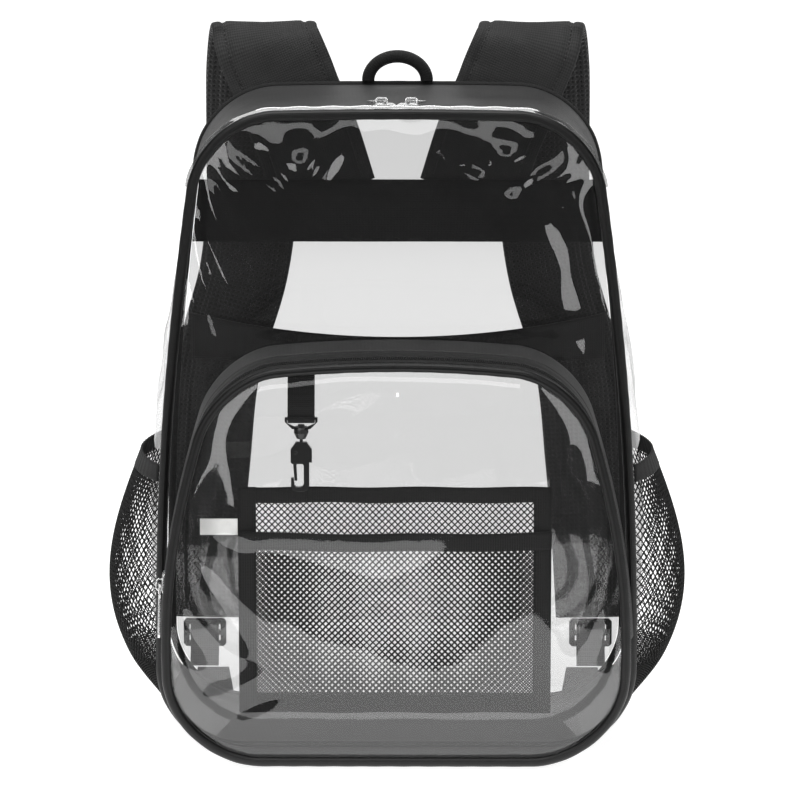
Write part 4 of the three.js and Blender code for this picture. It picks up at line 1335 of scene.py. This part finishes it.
@dataclass
class Nets(SubAssembly):
    """Knitted diamond net: yarn between the crossings of a lattice."""

    cell: float = 4.2  # mm, as the photo shows
    yarn: float = 0.5  # half its width
    foot: float = 28.0
    net_top: float = 183.0
    hem_height: float = 12.0
    ends: tuple[float, float] = (0.06, 0.94)  # shares of the depth that the net spans
    span: float = 0.88
    pocket_height: float = 167.3
    bulge: float = 27.0
    lean: float = 6.0  # mm that its mouth stands out
    standoff: float = 1.9

    def _lattice(
        self, name: str, surface: Surface, size: tuple[float, float], node: str
    ) -> None:
        """Net over a surface given on 0 to 1 both ways.

        Args:
            name: the piece's name.
            surface: takes two arrays of shares and gives points.
            size: the surface's rough width and height in millimetres.
            node: the CAD node that it replaces.
        """
        columns = max(2, int(round(size[0] / self.cell))) * 2
        rows = max(2, int(round(size[1] / self.cell))) * 2
        i, j = np.meshgrid(np.arange(columns + 1), np.arange(rows), indexing="ij")
        even = (i + j) % 2 == 0
        starts, ends = [], []
        for side in (-1, 1):
            ok = even & (i + side >= 0) & (i + side <= columns)
            starts.append(np.stack([i[ok] / columns, j[ok] / rows], -1))
            ends.append(np.stack([(i[ok] + side) / columns, (j[ok] + 1) / rows], -1))
        a, b = np.concatenate(starts), np.concatenate(ends)
        points, faces = prisms(
            surface(a[:, 0], a[:, 1]), surface(b[:, 0], b[:, 1]), self.yarn, 3
        )
        self.keep(mesh_object(name, points, faces), YARN, Slot.NET, stands_for=(node,))

    def side_surface(self, side: int) -> Surface:
        """The bottle pocket's bulging surface on one side.

        Args:
            side: 1 for the right, -1 for the left.

        Returns:
            A function of shares across the depth and up from the foot, in outline parameters.
        """

        def surface(u: Array, s: Array) -> Array:
            """The net's points at shares of the depth and outline parameters."""
            p = WALLS.body(u * WALLS.depth, s)
            f = np.clip((p[..., 2] - self.foot) / self.pocket_height, 0, 1)
            swell = self.bulge * arched(f**0.8) + self.lean * f**2
            standoff = self.standoff + arched(self._across(u), 0.75) * swell
            return np.stack([side * (p[..., 0] + standoff), p[..., 1], p[..., 2]], -1)

        return surface

    def _across(self, u: Array) -> Array:
        """Turns shares of the depth into shares of the net's span."""
        return (u - self.ends[0]) / self.span

    def build(self) -> None:
        """Makes both bottle pockets with their elastic hems."""
        hem_foot = self.net_top + WALLS.gap
        heights = (self.foot, self.net_top, hem_foot, hem_foot + self.hem_height)
        low, high, foot, top = (FRONT.station(z) for z in heights)
        for name, side in (("right", 1), ("left", -1)):
            surface = self.side_surface(side)

            def net(u: Array, v: Array, surface: Surface = surface) -> Array:
                """The net's points at shares across and up."""
                return surface(lerp(*self.ends, u), lerp(low, high, v))

            self._lattice(f"net_side_{name}", net, (138, 172), f"side_pocket_{name}")
            u = np.linspace(*self.ends, 60)[:, None]
            points = surface(u, np.linspace(foot, top, 7)[None])
            gather = 0.35 * np.sin(np.arange(60) * 1.9)[:, None]
            points[..., 0] += side * gather * arched(self._across(u))
            nodes = (f"side_pocket_band_{name}",)
            self.sheet(f"hem_side_{name}", points, BOUND, Slot.WEBBING, nodes, WALLS.cloth)


@dataclass
class Organizer(Nets):
    """The net organizer inside the front pocket, with its bindings and the blank label."""

    left: float = -105.0
    right: float = 103.0
    low: float = 28.0
    high: float = 182.0
    binding: float = 12.0
    top_binding: float = 10.5
    band_low: float = 140.0
    band_height: float = 12.0
    layer: float = -2.3  # the frame's front face

    def _fullness(self, u: Array, f: float | Array) -> Array:
        """Finds how far the front net bows forward.

        Args:
            u: shares across.
            f: shares up.

        Returns:
            Millimetres at each place.
        """
        return 7 * arched(u, 0.7) * arched(0.7 * f, 0.7)

    def build(self) -> None:
        """Makes the two nets, the bindings, the hem and the label."""
        x0, x1 = self.left + self.binding, self.right - self.binding
        z0, z1 = self.low + self.binding, self.high - self.top_binding

        def back(u: Array, v: Array) -> Array:
            """The back net's points at shares across and up."""
            return np.stack([lerp(x0, x1, u), np.full_like(u, -1.3), lerp(z0, z1, v)], -1)

        def front(u: Array, v: Array) -> Array:
            """The front net's points at shares across and up."""
            pleat = 1.6 * arched(u) * np.sin(6 * np.pi * u) ** 2
            y = self.layer - 0.8 - self._fullness(u, v) - pleat * (1 - v / 2)
            return np.stack([lerp(x0, x1, u), y, lerp(z0 - 6, self.band_low - 0.3, v)], -1)

        self._lattice("net_organizer_back", back, (x1 - x0, z1 - z0), "organizer_back")
        self._lattice("net_organizer_front", front, (x1 - x0, 105), "organizer_front")
        self._bindings()
        self._band()
        CadCopy("label_tag", SATIN, Slot.LABEL, Body.BAG, 0.1).build()

    def _bindings(self) -> None:
        """Four folded tapes, each a slab, the top and bottom ones a little wavy. Four
        folded tapes with mitred looks: each a slab with a soft edge.
        """
        half = WALLS.webbing / 2
        spans = (
            ("top", self.left, self.right, self.high - self.top_binding, self.high, 0),
            ("bottom", self.left, self.right, self.low, self.low + self.binding, 0),
            ("left", self.left, self.left + self.binding, self.low, self.high, 1),
            ("right", self.right - self.binding, self.right, self.low, self.high, 1),
        )
        for name, x0, x1, z0, z1, over in spans:
            count = (int((x1 - x0) / 3) + 2, int((z1 - z0) / 3) + 2)
            x, z = np.meshgrid(
                np.linspace(x0, x1, count[0]), np.linspace(z0, z1, count[1]), indexing="ij"
            )
            uneven = 0.35 * np.sin(x * 0.09 + z * 0.07) * (1 - over)
            y = np.full_like(x, self.layer + half - 0.35 * over)
            points = np.stack([x, y, z + uneven], -1)
            nodes = ("organizer_frame",) if name == "top" else ()
            self.sheet(
                f"organizer_tape_{name}", points, BOUND, Slot.WEBBING, nodes, WALLS.webbing * 0.8
            )

    def _band(self) -> None:
        """The hem along the front net's top."""
        u = np.linspace(0, 1, 90)[:, None]
        f = np.linspace(0, 1, 5)[None]
        y = self.layer - 0.3 - WALLS.webbing / 2 - self._fullness(u, 1.0)
        z = self.band_low + self.band_height * f + 0.4 * np.sin(u * 14)
        points = np.stack(np.broadcast_arrays(lerp(self.left, self.right, u), y, z), -1)
        self.sheet(
            "organizer_hem", points, BOUND, Slot.WEBBING, ("organizer_band",), WALLS.webbing * 0.8
        )


@dataclass
class CadCopy(SubAssembly):
    """A hard part that keeps its solid's shape, with its sharp edges rounded over."""

    node: str
    finish: Finish
    slot_name: Slot
    body: Body
    edge: float  # the rounding in millimetres

    def build(self) -> Object:
        """Copies the solid, rounds its edges and stands for it.

        Returns:
            The new piece.
        """
        source = bpy.data.objects[self.node]
        mesh = source.data.copy()
        made = bpy.data.objects.new(f"{self.node}_part", mesh)
        bpy.context.scene.collection.objects.link(made)
        weld = made.modifiers.new("weld", "WELD")
        weld.merge_threshold = 0.01 * MM
        flat = made.modifiers.new("flat", "DECIMATE")
        flat.decimate_type = "DISSOLVE"
        flat.angle_limit = math.radians(2)
        bevel = made.modifiers.new("edges", "BEVEL")
        bevel.width = self.edge * MM
        bevel.segments = 2
        bevel.limit_method = "ANGLE"
        bevel.angle_limit = math.radians(32)
        mesh.polygons.foreach_set("use_smooth", [False] * len(mesh.polygons))
        return self.keep(made, self.finish, self.slot_name, self.body, (self.node,))


@dataclass
class Hardware(SubAssembly):
    """Key clip, sliders, pulls and strap adjusters."""

    def build(self) -> None:
        """Makes each hard part from its solid."""
        plastic = (
            ("key_eye", Body.BAG, 0.3), ("key_hook", Body.HOOK, 0.35),
            ("hook_gate", Body.GATE, 0.2), ("ladder_lock_right", Body.BAG, 0.4),
            ("ladder_lock_left", Body.BAG, 0.4),
        )
        metal = (
            ("slider_right", Body.BAG, 0.35), ("slider_left", Body.BAG, 0.35),
            ("pocket_slider", Body.BAG, 0.35), ("pull_right", Body.PULL_RIGHT, 0.35),
            ("pull_left", Body.PULL_LEFT, 0.35), ("pocket_pull", Body.POCKET_PULL, 0.35),
        )
        webbing = tuple(
            (node, Body.BAG, 0.25)
            for node in (
                "key_strap", "strap_anchor_right", "strap_anchor_left",
                "strap_webbing_right", "strap_webbing_left",
            )
        )
        for parts, finish, slot in (
            (plastic, ACETAL, Slot.PLASTIC), (metal, ZINC, Slot.METAL),
            (webbing, WEB_SOLID, Slot.WEBBING),
        ):
            for node, body, edge in parts:
                CadCopy(node, finish, slot, body, edge).build()


@dataclass
class Straps(SubAssembly):
    """Padded shoulder straps: nylon outside, air mesh towards the wearer, and the grab loop."""

    thickness: float = 9.0
    width: float = 72.0
    base_x: float = 50.0
    end_x: float = 136.0
    reach: float = 46.0
    low: float = 58.0
    apex: float = 471.5
    seam_inset: float = 8.0  # mm from each edge to its row of thread
    handle_half: float = 20.0
    handle_rise: float = 16.4
    handle_section: tuple[float, float] = (4.3, 6.0)
    stations: tuple[tuple[float, float, float, float], ...] = (
        # across, reach, rise, width
        (0, 0, 0.73, 1), (0.14, 0, 0.822, 1), (0.28, 0.045, 0.89, 1), (0.343, 0.09, 0.924, 1),
        (0.453, 0.22, 0.977, 1), (0.49, 0.49, 1, 1), (0.523, 0.8, 0.98, 1),
        (0.558, 0.95, 0.924, 0.98), (0.58, 1, 0.827, 0.94), (0.605, 0.975, 0.706, 0.89),
        (0.675, 0.87, 0.585, 0.86), (0.884, 0.745, 0.428, 0.83), (0.953, 0.59, 0.271, 0.79),
        (0.99, 0.39, 0.126, 0.74), (1, 0.21, 0, 0.68),
    )

    def _curve(self, side: int, count: int) -> tuple[Array, Array]:
        """Draws the strap's middle line as a centripetal spline.

        Args:
            side: 1 for the right, -1 for the left.
            count: points in all, at most.

        Returns:
            The points, and the strap's width at each.
        """
        table = np.array(self.stations, float)
        back = WALLS.back_face + 0.3 + 1.2 + 0.3 + self.thickness / 2
        points = np.stack([
            side * lerp(self.base_x, self.end_x, table[:, 0]),
            lerp(back, WALLS.depth + self.reach, table[:, 1]),
            lerp(self.low, self.apex, table[:, 2]),
        ], -1)
        first, last = 2 * points[0] - points[1], 2 * points[-1] - points[-2]
        knots = np.concatenate([[first], points, [last]])
        line, wide = [], []
        per = count // (len(points) - 1)
        for k in range(len(points) - 1):
            p = knots[k : k + 4]
            t = np.concatenate([[0], np.cumsum(np.linalg.norm(np.diff(p, axis=0), axis=1) ** 0.5)])
            x = np.linspace(t[1], t[2], per, endpoint=k == len(points) - 2)[:, None]
            first_row = [self._blend(x, t[i], t[i + 1], p[i], p[i + 1]) for i in range(3)]
            second = [
                self._blend(x, t[i], t[i + 2], first_row[i], first_row[i + 1]) for i in range(2)
            ]
            line.append(self._blend(x, t[1], t[2], *second))
            share = (x[:, 0] - t[1]) / (t[2] - t[1])
            wide.append(self.width * lerp(table[k, 3], table[k + 1, 3], share))
        return np.concatenate(line), np.concatenate(wide)

    @staticmethod
    def _blend(x: Array, start: float, end: float, a: Array, b: Array) -> Array:
        """Blends two points by where a knot value lies.

        Args:
            x: knot values, one per row.
            start: the knot value at a.
            end: the knot value at b.
            a: the point or points at the start.
            b: those at the end.

        Returns:
            The blended points.
        """
        return (end - x) / (end - start) * a + (x - start) / (end - start) * b

    def _section(self, width: Array) -> tuple[Array, Array]:
        """Draws the pad's section: crowned middle, sewn groove, rolled edge.

        Args:
            width: the strap's width at each station.

        Returns:
            Places across and through the pad.
        """
        turn = np.linspace(0, 2 * np.pi, 48, endpoint=False)
        across = np.sign(np.cos(turn)) * np.abs(np.cos(turn)) ** 0.35
        inner = np.abs(across)
        face = np.sign(np.sin(turn)) * np.abs(np.sin(turn)) ** 0.5
        x = width[:, None] / 2 * across
        from_edge = width[:, None] / 2 * (1 - inner)
        groove = np.exp(-(((from_edge - self.seam_inset) / 1.6) ** 2))
        rolled = from_edge < self.seam_inset
        thick = self.thickness / 2 * face * (1 - 0.32 * groove - 0.12 * rolled)
        return x, thick

    def build(self) -> None:
        """Makes both straps, their thread and the grab loop."""
        for name, side in (("right", 1), ("left", -1)):
            line, width = self._curve(side, 180)
            ahead = np.gradient(line, axis=0)
            ahead /= np.linalg.norm(ahead, axis=1, keepdims=True)
            a = np.array([1.0, 0, 0]) - ahead * ahead[:, :1]
            a /= np.linalg.norm(a, axis=1, keepdims=True)
            b = np.cross(ahead, a)
            x, thick = self._section(width)
            points = line[:, None] + a[:, None] * x[..., None] + b[:, None] * thick[..., None]
            loop = points[:, ::-1]
            faces = grid_faces(len(line), loop.shape[1], wrap=True)
            count = loop.shape[1]
            last = (len(line) - 1) * count
            caps = [list(range(count))[::-1], list(range(last, last + count))]
            run = np.concatenate([[0], np.cumsum(np.linalg.norm(np.diff(line, axis=0), axis=1))])
            uv = np.stack([x[:, ::-1], np.broadcast_to(run[:, None], x.shape)], -1) * MM
            piece = mesh_object(f"strap_{name}", loop, faces, uv)
            self._close(piece, caps)
            self.keep(piece, PADDED, Slot.PADDED, stands_for=(f"shoulder_strap_{name}",))
            self._mesh_face(piece, thick[:, ::-1])
            for edge, end in (("outer", 1), ("inner", -1)):
                inset = end * (width[:, None] / 2 - self.seam_inset)
                place = line + a * inset - b * (self.thickness * 0.30)
                step = np.concatenate(
                    [[0], np.cumsum(np.linalg.norm(np.diff(place, axis=0), axis=1))]
                )
                even = np.arange(0, step[-1], STITCH)
                path = np.stack([np.interp(even, step, place[:, i]) for i in range(3)], -1)
                self.stitches(f"thread_strap_{name}_{edge}", path, 0.35)
        self._handle()

    def _close(self, piece: Object, caps: list[list[int]]) -> None:
        """Adds the two end faces.

        Args:
            piece: the strap.
            caps: each end's point numbers.
        """
        mesh = piece.data
        points = [tuple(v.co) for v in mesh.vertices]
        faces = [tuple(p.vertices) for p in mesh.polygons] + [tuple(c) for c in caps]
        uv = np.zeros(len(mesh.loops) * 2)
        mesh.uv_layers["cloth"].data.foreach_get("uv", uv)
        closed = bpy.data.meshes.new(mesh.name + "_closed")
        closed.from_pydata(points, [], faces)
        closed.polygons.foreach_set("use_smooth", [True] * len(closed.polygons))
        layer = closed.uv_layers.new(name="cloth")
        rest = np.zeros((len(closed.loops) - len(mesh.loops)) * 2)
        layer.data.foreach_set("uv", np.concatenate([uv, rest]))
        closed.update()
        piece.data = closed
        bpy.data.meshes.remove(mesh)

    def _mesh_face(self, piece: Object, thick: Array) -> None:
        """Gives the wearer's side its air mesh.

        Args:
            piece: the strap.
            thick: the points' places through the pad.
        """
        piece.data.materials.append(SPACER.build())
        count = thick.shape[1]
        rows = thick.shape[0] - 1
        j = np.arange(count)
        k = (j + 1) % count
        inside = (thick[:-1, j] + thick[:-1, k]) > 0.6 * self.thickness / 2
        index = np.zeros(len(piece.data.polygons), np.int32)
        index[: rows * count] = inside.reshape(-1)
        piece.data.polygons.foreach_set("material_index", index)

    def _handle(self) -> None:
        """The grab loop: a rolled webbing arch."""
        foot = REAR.at(5.0)[1] + 2.6 + 0.3
        angle = np.linspace(0, np.pi, 60)
        path = np.stack(
            [
                self.handle_half * np.cos(angle), np.full(60, WALLS.depth),
                foot + self.handle_rise * np.sin(angle),
            ], -1,
        )
        out = np.stack([np.cos(angle), np.zeros(60), np.sin(angle)], -1)
        turn = 2 * np.pi * np.arange(20) / 20
        tall, deep = self.handle_section
        section = tall * np.sign(np.cos(turn)) * np.abs(np.cos(turn)) ** 0.8
        depth = deep * np.sign(np.sin(turn)) * np.abs(np.sin(turn)) ** 0.7
        points = path[:, None] + out[:, None] * section[None, :, None]
        points = points + np.array([0, 1.0, 0]) * depth[None, :, None]
        piece = mesh_object(
            "grab_loop", points, grid_faces(60, 20, wrap=True)[:, ::-1], lengths(points)
        )
        self.keep(piece, BOUND, Slot.WEBBING, stands_for=("haul_handle",))


@dataclass
class Studio:
    """A pale floor, soft lamps and the camera at the photograph's angle."""

    azimuth: float = 0.31
    elevation: float = 10.56
    distance: float = 2.6
    target: tuple[float, float, float] = (0.00209, -0.00602, 0.2292)
    lens: float = 173.2
    table_edge: float = -0.42  # metres: beyond it the sheets mirror the dark room
    table_back: float = 0.02
    floor_glow: float = 0.92  # to the eye, so that the ground reads white
    dim_glow: float = 0.42  # in what the sheets mirror
    table_glow: float = 1.75
    lamps: tuple[tuple, ...] = (
        # name, place, aim, size, power
        ("over", (0.0, 0.1, 2.4), (0, 0.05, 0.2), (1.8, 1.8), 34),
        ("left", (-0.82, -1.40, 0.62), (0, 0, 0.25), (0.42, 1.2), 7),
        ("right", (0.86, -1.40, 0.62), (0, 0, 0.25), (0.42, 1.2), 6),
        ("front", (-0.2, -2.75, 1.38), (0, 0, 0.3), (1.5, 0.42), 4.6),
        ("behind", (0.0, 2.2, 1.0), (0, 0, 0.35), (3.0, 1.4), 16),
    )

    def _paper(self, name: str, mirrored: float) -> bpy.types.Material:
        """Makes white paper whose glow differs between the eye and what the sheets mirror.

        Args:
            name: ends the material's name.
            mirrored: its glow in the sheets.

        Returns:
            The material.
        """
        paper = bpy.data.materials.new(f"paper_{name}")
        paper.use_nodes = True
        tree = paper.node_tree
        tree.nodes.clear()
        path = add_node(tree, "LightPath")
        glow = add_node(
            tree, "MapRange", {3: self.floor_glow, 4: mirrored},
            {0: path.outputs["Is Glossy Ray"]},
        )
        shader = add_node(
            tree, "BsdfPrincipled",
            {"Base Color": (0.4, 0.4, 0.4, 1), "Roughness": 0.95, "Emission Color": (1, 1, 1, 1)},
            {"Emission Strength": glow.outputs[0]},
        )
        add_node(tree, "OutputMaterial", links={"Surface": shader.outputs[0]})
        return paper

    def _plane(
        self, name: str, low: tuple[float, float], high: tuple[float, float], mirrored: float
    ) -> Object:
        """Makes a flat piece of floor.

        Args:
            name: its name.
            low: its left front corner, in metres.
            high: its right back corner.
            mirrored: its glow in the sheets.

        Returns:
            The piece.
        """
        mesh = bpy.data.meshes.new(name)
        (x0, y0), (x1, y1) = low, high
        corners = [(x0, y0, 0), (x1, y0, 0), (x1, y1, 0), (x0, y1, 0)]
        mesh.from_pydata(corners, [], [(0, 1, 2, 3)])
        made = bpy.data.objects.new(name, mesh)
        bpy.context.scene.collection.objects.link(made)
        made.data.materials.append(self._paper(name, mirrored))
        return made

    def _lamp(
        self, name: str, place: tuple, aim: tuple, size: tuple[float, float], power: float
    ) -> None:
        """Hangs a soft rectangular lamp.

        Args:
            name: its name.
            place: where it hangs, in metres.
            aim: the point it faces.
            size: its width and height.
            power: in watts.
        """
        light = bpy.data.lights.new(name, "AREA")
        light.shape = "RECTANGLE"
        light.size, light.size_y = size
        light.energy = power
        made = bpy.data.objects.new(name, light)
        bpy.context.scene.collection.objects.link(made)
        made.location = place
        made.rotation_euler = (Vector(aim) - Vector(place)).to_track_quat("-Z", "Y").to_euler()
        made.visible_camera = False

    def build(self) -> None:
        """Makes the stage, the lamps and the camera."""
        edge, back = self.table_edge, self.table_back
        self._plane("floor_back", (-14, back), (14, 14), self.dim_glow)
        self._plane("floor_table", (-14, edge), (14, back), self.table_glow)
        front = self._plane("floor_front", (-14, -14), (14, edge), self.dim_glow)
        front.visible_glossy = False
        for lamp in self.lamps:
            self._lamp(*lamp)
        sun = bpy.data.lights.new("sky", "SUN")
        sun.energy = 1.7
        sun.angle = math.radians(60)
        made = bpy.data.objects.new("sky", sun)
        made.rotation_euler = (math.radians(18), math.radians(-8), 0)
        bpy.context.scene.collection.objects.link(made)
        self._world()
        self._camera()

    def _world(self) -> None:
        """White to the eye, dim to what the sheets mirror."""
        world = bpy.data.worlds.new("studio")
        bpy.context.scene.world = world
        world.use_nodes = True
        tree = world.node_tree
        tree.nodes.clear()
        path = add_node(tree, "LightPath")
        dim = add_node(tree, "Background", {"Color": (0.30, 0.30, 0.30, 1), "Strength": 0.35})
        white = add_node(tree, "Background", {"Color": (1, 1, 1, 1), "Strength": 1.0})
        both = add_node(
            tree, "MixShader",
            links={0: path.outputs["Is Camera Ray"], 1: dim.outputs[0], 2: white.outputs[0]},
        )
        add_node(tree, "OutputWorld", links={"Surface": both.outputs[0]})

    def _camera(self) -> None:
        """Places the camera at the fitted azimuth, elevation and distance."""
        e, a = math.radians(self.elevation), math.radians(self.azimuth)
        back = Vector((math.sin(a) * math.cos(e), -math.cos(a) * math.cos(e), math.sin(e)))
        camera = bpy.data.objects.new("camera", bpy.data.cameras.new("camera"))
        camera.data.lens = self.lens
        camera.data.sensor_width = 36
        camera.data.clip_end = 60
        camera.location = Vector(self.target) + back * self.distance
        camera.rotation_euler = (-back).to_track_quat("-Z", "Y").to_euler()
        bpy.context.scene.collection.objects.link(camera)
        bpy.context.scene.camera = camera
        scene = bpy.context.scene
        scene.view_settings.view_transform = "Standard"
        scene.cycles.transparent_max_bounces = 48


def main() -> None:
    """Builds the backpack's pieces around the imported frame."""
    logging.basicConfig(level=logging.INFO, format="%(message)s")
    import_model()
    Studio().build()
    for part in (
        VinylPanels(), Trim(), NylonWalls(), Zippers(), BackAndSleeve(), Nets(), Organizer(),
        Hardware(), Straps(),
    ):
        LOG.info("%s", type(part).__name__)
        part.build()
    bpy.context.view_layer.update()


if __name__ == "__main__":
    main()
